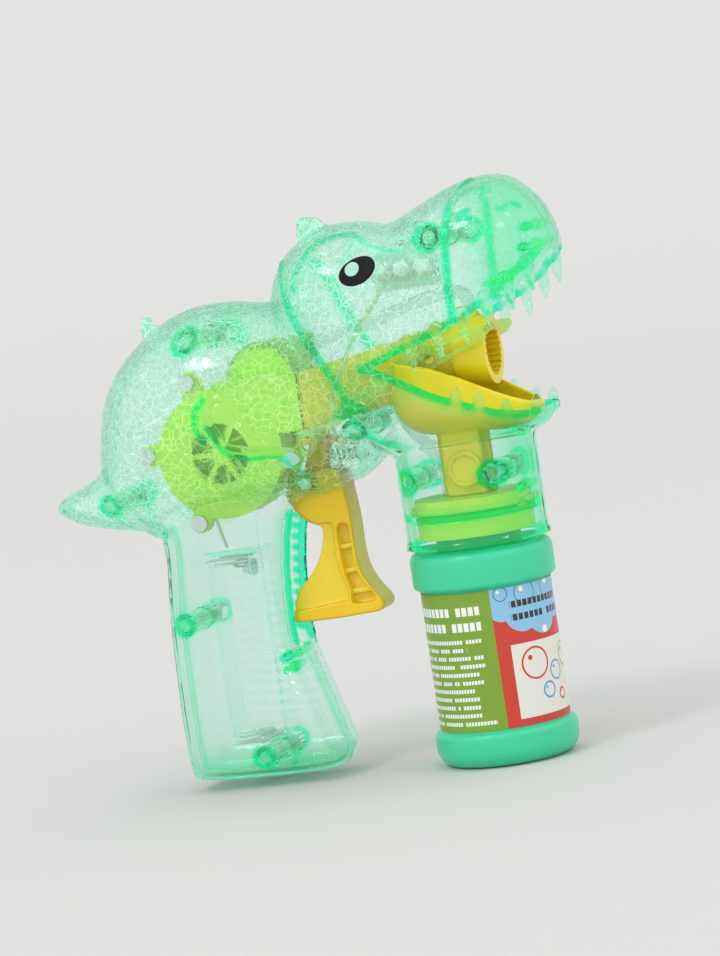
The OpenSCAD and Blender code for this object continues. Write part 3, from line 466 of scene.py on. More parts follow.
def inner_details(g, side, shell, inner, marks, soft):
    """Posts, walls and bars inside, all trimmed to the inside of the wall."""
    parts, bright, tubes = (np.full(shell.shape, FAR, np.float32) for _ in range(3))

    def plate(lo, hi):
        add(parts, g, lo, hi, lambda s: block(s, lo, hi), 0.3)

    if side > 0:
        w, deep = BAY["wall"], 40
        for x in (BAY["back"] - w, BAY["front"]):
            plate((x, -deep, BAY["low"] - 2), (x + w, deep, BAY["high"] + w))
        for z in (BAY["low"] - 2, BAY["high"]):
            plate((BAY["back"], -deep, z), (BAY["front"], deep, z + w))
    plate(*SPRING_STOP)
    add(bright, g, (25, -24, LEDGE_LOW), (70, 24, LEDGE_HIGH),
        lambda s: np.maximum(post_z(s, BOTTLE_X, 30, LEDGE_LOW, LEDGE_HIGH),
                             -post_z(s, BOTTLE_X, RISER_R, 60, 90)), 0.3)
    for x, z in POSTS:
        add(tubes, g, (x - 4, -40, z - 4), (x + 4, 40, z + 4), lambda s: bar_y(s, x, z, POST_R, -60, 60), 0.4)
    for x, z, half in CROSS_BARS:
        add(bright, g, (x - 2, -half, z - 2), (x + 2, half, z + 2),
            lambda s: bar_y(s, x, z, 1.15, -half, half), 0.4)
    px, pz = PIVOT
    for way in (-1, 1):
        near, far = sorted((way * 7.2, way * 15))
        add(tubes, g, (px - 4, way * 11 - 4, pz - 4), (px + 4, way * 11 + 4, pz + 4),
            lambda s: bar_y(s, px, pz, 3.6, near, far), 0.4)
    # guide cheeks beside the trigger, with slanted ribs on the left one
    for way in (-1, 1):
        near, far = sorted((way * (SLOT_HALF + 0.2), way * (SLOT_HALF + 1.3)))
        plate((-23, near, 40), (-6, far, 80))
    if side > 0:
        y = SLOT_HALF + 0.6
        for z in 43.5 + 3.4 * np.arange(11):
            x = -13.5 + 0.108 * (z - 43)
            strand(bright, g, [(x + 3.4, y, z), (x - 2.6, y, z + 2.2)], 0.62, 0.3)
    room = inner - 0.5
    parts, bright, tubes = (np.maximum(p, room) for p in (parts, bright, tubes))
    marks[:] = np.minimum(marks, bright)
    soft[:] = np.minimum(soft, tubes)
    return np.minimum(shell, np.minimum(parts, np.minimum(bright, tubes)))


def teeth(g, side, shell, plain, soft):
    for roots, way in ((UPPER_TEETH, -1), (LOWER_TEETH, 1)):
        for x, z, h in roots:
            y = side * max(half_width(plain, g, x, z - 1.5 * way) - 1.7, 1)
            spine = [(x, y, z - way), (x + 0.3, y, z + way * 0.5 * h),
                     (x + 0.7, y * 0.985, z + way * (h - 0.5))]
            strand(shell, g, spine, [2.1, 1.5, 0.65], 0.5)
            core = np.array((x + 0.25, y, z + way * 0.45 * h))
            at, sub = g.part(core - 4.5, core + 4.5, 1)
            across = np.abs(sub.x - core[0]) + 0.35 * np.abs(sub.z - core[2])
            near = np.maximum(1.5 - across, np.abs(sub.z - core[2]) - 0.7 * h) + 0 * sub.y
            soft[at] = np.minimum(soft[at], near)


def screw_posts(g, side, shell, inner, plain, marks):
    """Bores the posts, and marks a green ring round each one on the outer wall, which the glow attribute
    paints deep green with a painted glow.
    """
    bore = 2.0 if side < 0 else 1.2
    for x, z in POSTS:
        shell = np.maximum(shell, -np.maximum(bar_y(g, x, z, bore, -60, 60), inner - 0.2))
        if side > 0:
            cut(shell, g, (x - 3, 9, z - 3), (x + 3, 40, z + 3), lambda s: bar_y(s, x, z, 2.7, 9, 60))
        ring_r = 3.35 if z > 95 or x > 20 else 2.8
        ring = np.abs(np.sqrt((g.x - x) ** 2 + (g.z - z) ** 2) - ring_r) - 0.45
        if (x, z) != POSTS[-1]:
            marks = np.minimum(marks, np.maximum(ring, -plain - WALL - 0.6))
    px, pz = PIVOT
    cut(shell, g, (px - 2, -12, pz - 2), (px + 2, 12, pz + 2), lambda s: bar_y(s, px, pz, 1.6, -10.6, 10.6))
    return shell, marks


def left_openings(g, shell):
    """The battery door's opening, and slots over the fan."""
    lo, hi = (BAY["back"], 10, BAY["low"]), (BAY["front"], 35, BAY["high"])
    cut(shell, g, lo, hi, lambda s: block(s, lo, hi))
    for i in range(-2, 3):
        lo = (FAN[0] - 8 + 2 * abs(i), 18, FAN[1] + 5 * i - 1)
        hi = (FAN[0] + 10 - 2 * abs(i), 38, FAN[1] + 5 * i + 1)
        cut(shell, g, lo, hi, lambda s: block(s, lo, hi), 0.5)


def casing_half(side):
    lo_y, hi_y = (-34.5, 1.4) if side < 0 else (-1.4, 34.5)
    g = Grid((-87, lo_y, -2), (88, hi_y, 176), STEP)
    plain, crack = casing_field(g)
    formed = plain.copy()
    arm = raised_forms(g, side, formed)
    crack = np.maximum(crack, (0.9 - arm) * 3)
    inner = formed + WALL
    # marks and soft hold the ribs, edges, lips and rings that the glow attribute paints: their deep green is
    # partly the plastic's own deeper tint where it is thick, and partly painted glow of light carried along
    # it
    marks = np.full(plain.shape, FAR, np.float32)     # ribs and edges of the strongest green
    soft = marks.copy()                               # places with about a third of it
    shell = formed.copy()

    def rib(line, r, k, inset, field=plain, glow=None, per=5):
        strand(shell, g, follow(field, g, side, line, per, inset), r, k, glow)

    rib(BROW, 0.95, 1.6, 0.4)
    rib(BROW, 0.42, 0.4, -0.45, glow=marks)
    rib(TAIL_CREASE, 0.8, 1.2, 0.4, glow=soft)
    strand(shell, g, ellipse_ring(plain, g, side, 1.36, 0.3), 0.6, 0.7, soft)
    rib(NOSTRIL_RIDGE, 1.0, 1.2, 0.5, glow=soft)
    rib(ARM_EDGE, 0.75, 0.6, 0.4, formed, marks)
    rib(ARM_UNDER, 0.7, 0.6, 0.5, formed, marks)
    # a flange along the joint stiffens the wall there
    flange = np.maximum(np.abs(g.y) - 0.9, inner - 1.0)
    shell = np.maximum(shell, -np.maximum(inner, -flange))
    soft = np.minimum(soft, np.maximum(np.abs(g.y) - 0.8, -formed - 2.4))
    shell = inner_details(g, side, shell, inner, marks, soft)
    # saturated ribs on the outside
    for line, r in ((CHEEK, 0.9), (JAW_EDGE, 0.85), (SNOUT_RIB, 0.95)):
        rib(line, r, 0.7, 0.5, glow=marks)
    for end, radii in (((17.2, 109.3), (2.1, 1.4, 0.9)), ((25.2, 110.3), (2.1, 1.3, 0.9))):
        rib([CHEEK[-1], end], radii, 0.6, 0.8, glow=marks, per=2)
    for line in NOSTRILS:
        rib(line, 0.85, 0.5, 0.2, glow=marks, per=3)
    for line in RING_STEMS:
        rib(line, 0.6, 0.4, 1.2, glow=marks, per=3)
    # mouth and lips
    shell = np.maximum(shell, -np.broadcast_to(outline(g, MOUTH, 3), shell.shape))
    if side > 0:
        palate = [(x, 1.4, z) for x, z in smooth_loop(PALATE, 4, closed=False)]
        strand(shell, g, palate, 0.9, 0.5, marks)
    rib(LIP_UP, 0.98, 0.7, 0.9, glow=marks)
    rib(LIP_LOW, 0.95, 0.7, 0.9, glow=marks)
    teeth(g, side, shell, plain, soft)
    # the holder is open below, with a bright rim
    cut(shell, g, (20, -30, 50), (75, 30, LEDGE_LOW),
        lambda s: post_z(s, BOTTLE_X, HOLDER_R - WALL - 0.2, 50, LEDGE_LOW))
    rim = np.maximum(post_z(g, BOTTLE_X, HOLDER_R + 0.5, HOLDER_LOW - 0.2, HOLDER_LOW + 1.4),
                     -post_z(g, BOTTLE_X, HOLDER_R - 1.9, 50, 90))
    shell = smin(shell, rim, 0.5)
    marks = np.minimum(marks, rim)
    slot = np.maximum(np.abs(g.y) - SLOT_HALF, outline(g, TRIGGER_SLOT, 1))
    shell = smax(shell, -slot, 0.4)
    rope = follow_front(plain, g, side)
    strand(shell, g, rope, [0.75 + 0.4 * (i % 2) for i in range(len(rope))], 0.5, marks)
    shell, marks = screw_posts(g, side, shell, inner, plain, marks)
    if side > 0:
        left_openings(g, shell)
    shell = np.maximum(shell, -side * g.y + 0.06)
    return g, shell, marks, soft, crack, plain


def follow_front(field, g, side):
    """The front edge of the trigger's slot, down the handle."""
    out = []
    for z in np.arange(42, 82, 0.9):
        x = np.linspace(-24, 4, 140)
        f = sample(field, g, np.stack([x, 0 * x + side * (SLOT_HALF + 0.4), 0 * x + z], 1))
        inside = x[f < 0]
        front = inside[inside < 3].max() if len(inside) else -10
        out.append((min(front, -4.0) - 0.7, side * (SLOT_HALF + 0.5), z))
    return out


def fade(values, start, end):
    """1 at start and beyond it, and down to 0 at end."""
    t = np.clip((values - start) / (end - start), 0, 1)
    return 1 - t * t * (3 - 2 * t)


def shell_object(side):
    g, field, marks, soft, crack, plain = casing_half(side)
    verts, quads = nets(field, g)
    ob = make_object("right_shell_looks" if side < 0 else "left_shell_looks", verts, quads)
    x, z = verts[:, 0], verts[:, 2]
    strong, weak = sample(marks, g, verts), sample(soft, g, verts)
    # painted glow: deeper green and emitted light at the snout's front, the handle's foot and the top of the
    # back of the head
    painted_edge_glow = 0.22 * fade(x, 66, 54) + 0.2 * fade(z, 4, 14) + 0.12 * fade(z, 150, 120) * fade(x, 2, 14)
    # glow paints deep green and a painted glow of emitted light on the ribs, edges and rings and a little way
    # round them
    glow = np.maximum(fade(strong, 0.25, 1.15), 0.34 * fade(weak, 0.0, 0.9))
    glow = np.maximum(glow, np.maximum(painted_edge_glow, 0.13 * fade(strong, 0.5, 4)))
    attribute(ob, "glow", glow)
    calm = 1 - 0.75 * fade(x, 60, 54)      # the snout is much less crackled than the rest of the head
    outside = fade(sample(plain, g, verts), -0.5, -1.2)
    attribute(ob, "crack", calm * fade(sample(crack, g, verts), -1.0, 1.5) * outside)
    attribute(ob, "grip", fade(np.abs(x + 18), 7, 10) * fade(np.abs(z - 44), 21, 25))
    return ob


def eye_print(side, g, field):
    """A thin domed patch on the casing's side, with a lighter spot."""
    x0, z0, a, b, tilt = EYE
    rings, around = 10, 72
    patches = (("eye_print", x0, z0, a, b, 0.22, "eye_black"),
               ("eye_spot", x0 - 1.5, z0 + 0.8, 2.1, 2.0, 0.34, "eye_pale"))
    for name, cx, cz, ra, rb, lift, material in patches:
        verts, faces = [], []
        for rise in (lift, -0.25):
            for i in range(rings + 1):
                for j in range(around):
                    turn = 2 * math.pi * j / around
                    dx, dz = turned(i / rings * ra * math.cos(turn), i / rings * rb * math.sin(turn), tilt)
                    y = half_width(field, g, cx + dx, cz + dz) + rise
                    verts.append((cx + dx, side * y, cz + dz))
        n = (rings + 1) * around
        for j in range(around):
            k = (j + 1) % around
            for layer in (0, 1):
                for i in range(rings):
                    at = layer * n + i * around
                    q = [at + j, at + k, at + around + k, at + around + j]
                    faces.append(q if (layer == 0) == (side < 0) else q[::-1])
            q = [n - around + j, n - around + k, 2 * n - around + k, 2 * n - around + j]
            faces.append(q if side < 0 else q[::-1])
        ob = make_object(f"{name}_{'right' if side < 0 else 'left'}", verts, faces)
        finish_piece(ob, "casing", material)


# ---------- the trigger ----------

ROD_PIN = (PIVOT[0] + 4, PIVOT[1] + 12.5)
PULL = 10.0               # the trigger's swing, in degrees
FAN_CLEARANCE = 20.4      # the trigger stays this far from the fan's centre, at rest and when pulled
# the fan's centre at full pull, as it stands in the trigger's own frame
FAN_WHEN_PULLED = [p + d for p, d in zip(PIVOT, turned(FAN[0] - PIVOT[0], FAN[1] - PIVOT[1], PULL))]
TRIGGER = [(8.0, 91.5), (9.2, 86.5), (9.9, 80.5), (10.1, 74), (10.1, 67.5), (10.9, 61.5), (13.3, 56.6),
           (16.2, 52.4), (16.5, 50.3), (14.6, 48.7), (9, 48.3), (2.5, 47.9), (-7.4, 47.8), (-12.6, 48.3),
           (-12.2, 51.4), (-11.2, 55), (-9.6, 57.9), (-6.2, 61), (-2.7, 65.4), (-0.8, 69.6), (0.3, 74.5),
           (-1, 76.6), (-4.8, 79.4), (-6.8, 82.4), (-7, 86), (-5.6, 91)]
WEB = [(-20, 53.2), (4, 52.9), (5.6, 53.4), (6.1, 55.2), (5.6, 58.2), (4.3, 61.8), (3.7, 68), (3.9, 76),
       (0, 77), (-20, 77)]
WINDOW = [(5.4, 75.6), (8.8, 75.6), (8.9, 69.9), (9.0, 66), (9.5, 61.6), (11.9, 56.6), (14.2, 53.6),
          (13.4, 51.9), (7.2, 51.8), (6.9, 54.6), (7.0, 56.4), (5.8, 61.1), (5.3, 68.3)]


def trigger_object():
    g = Grid((-16, -18, 44), (23, 8.5, 107), spacing(0.4))
    half = 6.1
    body = smax(outline(g, TRIGGER, 4), np.abs(g.y) - half, 1.0)
    web = smax(outline(g, WEB, 3), 4.6 - np.abs(g.y), 0.8)
    window = smax(outline(g, WINDOW, 3), 2.4 - np.abs(g.y), 0.8)
    for (ax, az), (bx, bz) in (((5.0, 69), (10, 69.4)), ((5.4, 61.7), (11, 62.1)), ((5.4, 55.3), (14, 55.7))):
        rib = np.abs((g.z - az) - (bz - az) * (g.x - ax) / (bx - ax)) - 0.8
        window = np.maximum(window, -np.maximum(rib, np.abs(g.y) - 4.4))
    body = smax(body, -web, 0.5)
    body = smax(body, -window, 0.5)
    hub = smax(ellipsoid(g, (PIVOT[0] + 1.5, 0, PIVOT[1]), (11.5, 9.4, 14.4)), np.abs(g.y) - half, 1.5)
    hub = np.maximum(hub, g.z - 93)
    hub_room = [(9.9, 80.5), (9.2, 86.5), (8, 94), (-14, 94), (-14, 70), (10.1, 70)]
    hub = smax(hub, outline(g, hub_room, 1), 1.0)
    hub = np.maximum(hub, -capsule(g, (8, 0, 60), (8.4, 0, 74.5), 2.6, 2.6))
    body = smin(body, hub, 0.8)
    for fan_x, fan_z in (FAN, FAN_WHEN_PULLED):
        body = np.maximum(body, FAN_CLEARANCE - np.sqrt((g.x - fan_x) ** 2 + (g.z - fan_z) ** 2) + 0 * g.y)
    (rx, rz), (px, pz) = ROD_PIN, PIVOT
    lever = [(px - 3, pz + 2), (rx - 2.6, rz), (rx - 1.5, rz + 2.4),
             (rx + 1.5, rz + 2.4), (rx + 2.6, rz), (px + 5, pz + 2)]
    body = smin(body, smax(outline(g, lever, 1), np.abs(g.y) - 2.4, 0.6), 0.6)
    body = np.minimum(body, bar_y(g, rx, rz, 1.3, -16.5, 0))
    body = np.maximum(body, -bar_y(g, px, pz, 1.56, -20, 20))
    verts, quads = nets(body, g)
    ob = make_object("trigger_looks", verts, quads)
    # thin marks the web and windows that trigger_yellow paints paler, as painted light shining through the
    # thin plastic
    attribute(ob, "thin", fade(np.abs(verts[:, 1]), 4.4, 5.6) * fade(verts[:, 2], 74, 80))
    return ob


# ---------- the drip tray ----------

TRAY_REAR, TRAY_FRONT = ((38.5, 111.0), (10.5, 18.2, 12.0)), ((62.5, 104.6), (10.4, 10.6, 6.8))
TRAY_RIM = [(20, 124), (31, 122.6), (42, 120.2), (50, 116.6), (56, 113.2), (62, 109.8), (68, 106.8),
            (74.5, 104.6), (90, 104.2), (90, 80), (20, 80)]
COLUMN_LOW = 80.1
WIPER, WIPER_DOWN = (44, 0, 122), (60, 0, 116.3)      # the film wiper's pivot, and its arm's end when down
NOZZLE_Z = 122


def tray_object():
    """A deep boat whose walls stand straight up to a falling rim, on the column that drains it."""
    g = Grid((27, -20, COLUMN_LOW - 1), (75, 20, 125), spacing(0.5))

    def boat(inset):
        d = None
        for t in np.linspace(0, 1, 9):
            (x, z), radii = [[a + (b - a) * t for a, b in zip(p, q)] for p, q in zip(TRAY_REAR, TRAY_FRONT)]
            rx, ry, rz = (v - inset for v in radii)
            zz = np.minimum(g.z - z, 0) / rz
            k0 = np.sqrt(((g.x - x) / rx) ** 2 + (g.y / ry) ** 2 + zz ** 2)
            k1 = np.sqrt(((g.x - x) / rx ** 2) ** 2 + (g.y / ry ** 2) ** 2 + (zz / rz) ** 2)
            e = k0 * (k0 - 1) / np.maximum(k1, 1e-3)
            d = e if d is None else smin(d, e, 1.5)
        return d

    body = smax(smax(boat(0), -boat(1.7), 0.8), outline(g, TRAY_RIM, 3), 0.8)
    low = COLUMN_LOW
    column = np.minimum(block(g, (BOTTLE_X - 5.7, -6, low), (BOTTLE_X + 6.3, 6, 104)),
                        block(g, (BOTTLE_X - 8, -1, low), (BOTTLE_X + 8, 1, 104)))
    body = smin(body, np.maximum(column, -boat(1.0)), 0.5)
    boss_x, boss_z = BOTTLE_X + 1, 88
    body = np.minimum(body, bar_y(g, boss_x, boss_z, 5.4, -8, -5.9))
    body = np.maximum(body, -bar_y(g, boss_x, boss_z, 4, -8.4, -7))
    body = np.maximum(body, -post_z(g, BOTTLE_X, 3, 70, 104))
    # room for the wiper's arms, which swing at both sides, and for the duct
    side_view = Grid(g.lo, g.lo, g.step, [g.axes[0], np.zeros(1, np.float32), g.axes[2]])
    wiper_room = capsule(side_view, WIPER, WIPER_DOWN, 3.7, 2.7)
    body = np.maximum(body, -np.maximum(wiper_room, np.abs(np.abs(g.y) - 13.25) - 1.3))
    duct = np.maximum(np.sqrt(g.y ** 2 + (g.z - NOZZLE_Z) ** 2) - 11.2, g.x - 50)
    body = smax(body, -duct, 0.4)
    verts, quads = nets(body, g)
    return make_object("drip_tray_looks", verts, quads)


# ---------- the trigger's spring ----------

SPRING = dict(start=5.3, end=16.0, z=96.6, r=1.8, wire=0.35, turns=6)     # below the contact bridge


def spring_object(per_turn=16, around=8):
    """A coil along X, as one tube with flat ends."""
    t = np.arange(SPRING["turns"] * per_turn + 1)[:, None]
    a, b = 2 * math.pi * t / per_turn, 2 * math.pi * np.arange(around)[None, :] / around
    out = SPRING["r"] + SPRING["wire"] * np.cos(b)
    x = SPRING["start"] + (SPRING["end"] - SPRING["start"]) * t / t[-1] + SPRING["wire"] * np.sin(b)
    verts = np.stack([x, out * np.cos(a), SPRING["z"] + out * np.sin(a)], 2).reshape(-1, 3)
    idx = np.arange(len(verts)).reshape(-1, around)
    turn = np.roll(idx, -1, 1)
    quads = np.stack([idx[:-1], turn[:-1], turn[1:], idx[1:]], 2).reshape(-1, 4)
    across = np.array([(i, around - 1 - i, around - 2 - i, i + 1) for i in range(around // 2 - 1)])
    ends = [idx[0][across], idx[-1][across[:, ::-1]]]
    return make_object("trigger_spring_looks", verts, np.concatenate([quads, *ends]))


# ---------- bottle and label ----------

def arc(cx, cz, r, a0, a1, n=8):
    angles = [math.radians(a0 + (a1 - a0) * i / n) for i in range(n + 1)]
    return [(cx + r * math.cos(a), cz + r * math.sin(a)) for a in angles]


BAND_R, LABEL_R = 21.5, 19.4
NECK_R, NECK_TOP, SHOULDER = 12.8, 77.5, 65.0
LABEL_LOW, LABEL_HIGH = 11.3, 52.7


def bottle_object():
    outer = [(0.05, 1.2), (9, 1.0), (12, 0.4), (14, 0)]
    outer += arc(BAND_R - 5.5, 5.5, 5.5, -90, 0, 10)
    outer += arc(BAND_R - 1.8, 8.9, 1.8, 0, 80, 6)
    outer += [(LABEL_R + 0.1, 10.9), (LABEL_R, 11.2), (LABEL_R, 52.8), (LABEL_R + 0.15, 53.0)]
    outer += arc(BAND_R - 1.5, 55, 1.5, -85, 0, 6)
    outer += [(BAND_R - 0.05, 58.5)]
    outer += arc(BAND_R - 3.2, SHOULDER - 3.2, 3.2, 0, 90, 8)
    outer += [(NECK_R + 1, SHOULDER), (NECK_R, SHOULDER + 0.4)]
    for z in (69.5, 73):
        outer += [(NECK_R, z - 1.1), (NECK_R + 0.7, z - 0.3), (NECK_R + 0.7, z + 0.3), (NECK_R, z + 1.1)]
    outer += [(NECK_R, NECK_TOP - 0.2), (NECK_R - 0.2, NECK_TOP)]
    inner = [(NECK_R - 1.1, NECK_TOP), (NECK_R - 1.3, NECK_TOP - 0.2), (NECK_R - 1.3, SHOULDER - 1.2),
             (NECK_R - 1.0, SHOULDER - 1.4), (LABEL_R - 2.6, SHOULDER - 1.6), (LABEL_R - 1.3, SHOULDER - 3),
             (LABEL_R - 1.3, 3.4), (LABEL_R - 2.6, 2.2), (0.05, 2.4)]
    return lathe("bottle_looks", outer + inner, BOTTLE_X)


def label_object():
    profile = [(LABEL_R + 0.03, LABEL_LOW), (LABEL_R + 0.24, LABEL_LOW), (LABEL_R + 0.24, LABEL_HIGH),
               (LABEL_R + 0.03, LABEL_HIGH)]
    around = 256
    ob = lathe("bottle_label_looks", profile, BOTTLE_X, around)
    for p in ob.data.polygons:
        p.use_smooth = False
    layer = ob.data.uv_layers.new(name="label")
    start = math.radians(LABEL_SEAM)
    for poly in ob.data.polygons:
        angles = []
        for li in poly.loop_indices:
            v = ob.data.vertices[ob.data.loops[li].vertex_index].co / MM
            angles.append(((math.atan2(v.y, v.x - BOTTLE_X) - start) % (2 * math.pi), v.z, li))
        top = max(a for a, _, _ in angles)
        for a, z, li in angles:
            if top - a > math.pi:
                a += 2 * math.pi
            layer.data[li].uv = (a * (LABEL_R + 0.24) / 100, z / 100)
    return ob


# ---------- materials ----------

class Value:
    """A number or a mask inside a material, built up with ordinary operators."""

    def __init__(self, tree, socket):
        self.tree, self.socket = tree, socket

    def op(self, kind, other=None):
        n = self.tree.nodes.new("ShaderNodeMath")
        n.operation = kind
        for slot_at, v in enumerate((self, other)):
            if isinstance(v, Value):
                self.tree.links.new(v.socket, n.inputs[slot_at])
            elif v is not None:
                n.inputs[slot_at].default_value = v
        return Value(self.tree, n.outputs[0])

    def __add__(self, o):
        return self.op("ADD", o)

    def __sub__(self, o):
        return self.op("SUBTRACT", o)

    def __mul__(self, o):
        return self.op("MULTIPLY", o)

    def __truediv__(self, o):
        return self.op("DIVIDE", o)

    def __lt__(self, o):
        return self.op("LESS_THAN", o)

    def __gt__(self, o):
        return self.op("GREATER_THAN", o)

    def floor(self):
        return self.op("FLOOR")

    def fract(self):
        return self.op("FRACT")

    def either(self, o):
        return self.op("MAXIMUM", o)

    def between(self, low, high):
        return (self > low) * (self < high)


class Maker:
    """A material with a Principled shader, and short ways to add nodes to it."""

    def __init__(self, name, **values):
        self.material = bpy.data.materials.new(name)
        self.material.use_nodes = True
        self.tree = self.material.node_tree
        self.tree.nodes.clear()
        self.shader = self.node("BsdfPrincipled", **values)
        self.out = self.node("OutputMaterial", Surface=self.shader.outputs["BSDF"])
        self.place = self.node("TexCoord").outputs["Object"]

    def node(self, kind, **values):
        return self.set(self.tree.nodes.new("ShaderNode" + kind), **values)

    def set(self, n, **values):
        """Gives a node its settings, and its inputs their numbers or links."""
        for key, v in values.items():
            name = key.replace("_", " ")
            v = v.socket if isinstance(v, Value) else v
            if name not in n.inputs:
                setattr(n, key, v)
            elif isinstance(v, bpy.types.NodeSocket):
                self.tree.links.new(v, n.inputs[name])
            else:
                n.inputs[name].default_value = v
        return n

    def attribute(self, name):
        return Value(self.tree, self.node("Attribute", attribute_name=name).outputs["Fac"])

    def noise(self, scale, detail, output="Fac"):
        return self.node("TexNoise", Vector=self.place, Scale=scale, Detail=detail).outputs[output]

    def spread(self, value, **ends):
        return self.node("MapRange", Value=value, **ends).outputs["Result"]

    def blend(self, low, high, amount):
        mix = self.node("Mix", data_type="RGBA")
        for at, v in ((0, amount.socket if isinstance(amount, Value) else amount), (6, low), (7, high)):
            if isinstance(v, tuple):
                mix.inputs[at].default_value = v
            else:
                self.tree.links.new(v, mix.inputs[at])
        return mix.outputs[2]

    def bump(self, height, strength, distance):
        return self.node("Bump", Height=height, Strength=strength, Distance=distance).outputs["Normal"]


def plastic(name, colour, rough=0.35, vary=0.05, bump=0.02, **values):
    """Opaque moulded surface with slight mottling and grain."""
    m = Maker(name, **values)
    broad = m.noise(60.0, 4.0)
    low, high = ((*[min(1, v * (1 + way * vary)) for v in colour], 1) for way in (-1, 1))
    m.set(m.shader, Base_Color=m.blend(low, high, broad),
          Roughness=m.spread(broad, To_Min=max(rough - 0.06, 0.02), To_Max=rough + 0.06),
          Normal=m.bump(m.noise(900.0, 3.0), bump * 10, 0.0001))
    return m


PALE, STRONG = (0.99, 1.0, 0.995, 1), (0.005, 0.93, 0.47, 1)
PALE_LIGHT, STRONG_LIGHT, CRACK_LIGHT = (0.0, 0.004, 0.003, 1), (0.0, 0.15, 0.085, 1), (0.8, 0.9, 0.86, 1)


def clear_green():
    """Tinted clear plastic: crackled on the head and belly, and deep green along its ribs and edges, partly
    its own deeper tint where thick and partly a painted glow that it gives off.
    """
    m = Maker("clear_green", Transmission_Weight=1.0, Roughness=0.05, IOR=1.05, Coat_Weight=0.9,
              Coat_Roughness=0.05, Coat_IOR=1.5, Emission_Strength=0.25)
    glow, crack, grip = (m.attribute(a) for a in ("glow", "crack", "grip"))
    shift = m.node("MixRGB", blend_type="ADD", Fac=0.003, Color1=m.place, Color2=m.noise(110.0, 2.0, "Color"))

    def lines(scale, width):
        cells = m.node("TexVoronoi", feature="DISTANCE_TO_EDGE", Scale=scale, Vector=shift.outputs[0])
        thin = m.spread(cells.outputs["Distance"], From_Max=width, To_Min=1.0, To_Max=0.0)
        return Value(m.tree, thin) * crack

    patches = m.noise(70.0, 2.0)
    cloud = Value(m.tree, m.spread(patches, From_Min=0.42, From_Max=0.62))
    # the white crack lines also carry painted highlights: CRACK_LIGHT is given off along them
    white, green = lines(380.0, 0.075), lines(290.0, 0.06)
    tinted = glow.either(green * 0.6).either(cloud * crack * 0.09)
    ribs = m.node("TexWave", wave_type="BANDS", bands_direction="Z", Scale=98.0, Distortion=0.8,
                  Vector=m.place)
    height = (white * -0.2 + green * -0.2 + Value(m.tree, ribs.outputs["Fac"]) * grip * 0.16
              + Value(m.tree, patches) * 0.25)
    normal = m.bump(height, 1.0, 0.001)
    # the emission is painted light: a glow on the ribs and edges, and a faint glow over the whole casing
    m.set(m.shader, Base_Color=m.blend(PALE, STRONG, tinted), Normal=normal, Coat_Normal=normal,
          Emission_Color=m.blend(m.blend(PALE_LIGHT, STRONG_LIGHT, glow), CRACK_LIGHT, white * 0.75))
    depth = m.node("VolumeAbsorption", Color=(0.0, 1.0, 0.74, 1), Density=46.0)
    m.set(m.out, Volume=depth.outputs["Volume"])
    return m


def trigger_yellow():
    """Warm yellow, paler where the moulding is thin enough for light to come through."""
    m = plastic("trigger_yellow", (0.90, 0.57, 0.008), 0.3, 0.04)
    base = m.shader.inputs["Base Color"].links[0].from_socket
    m.set(m.shader, Base_Color=m.blend(base, (0.88, 0.67, 0.03, 1), m.attribute("thin")))
    return m


LABEL_SEAM = 145.0            # direction of the label's joint, degrees
RED_FROM = 49.0               # where the red panel starts, along the label from its joint
LIME, RED, CREAM, SKY = (0.20, 0.36, 0.028), (0.60, 0.045, 0.025), (0.78, 0.76, 0.70), (0.26, 0.54, 0.76)
DARK, WHITE = (0.03, 0.03, 0.035), (0.88, 0.9, 0.86)
INK, BLUE, GREEN = (0.05, 0.13, 0.22), (0.10, 0.36, 0.62), (0.16, 0.42, 0.05)
# round forms on the label: place along it, height, radius
CLOUDS = [(52, 47, 4.2), (58.5, 45, 6.0), (66, 43.6, 6.4), (74, 46, 5.2), (82, 44.6, 6.2), (92, 46, 5.6),
          (101, 44.5, 6.4), (111, 46, 5.5), (120, 45, 5)]
SKY_BUBBLES = [(60, 50.5, 3.6), (71, 51, 4.6), (78.5, 48.5, 2.6), (52.2, 51, 2.2), (90, 50, 4),
               (104, 51, 4.4)]
PANEL_BUBBLES = [(60.6, 29.2, 4.9, RED), (69.0, 25.6, 3.1, BLUE), (76, 29.5, 3.9, GREEN),
                 (64.6, 20.4, 2.6, BLUE), (71, 18.2, 1.9, RED)]


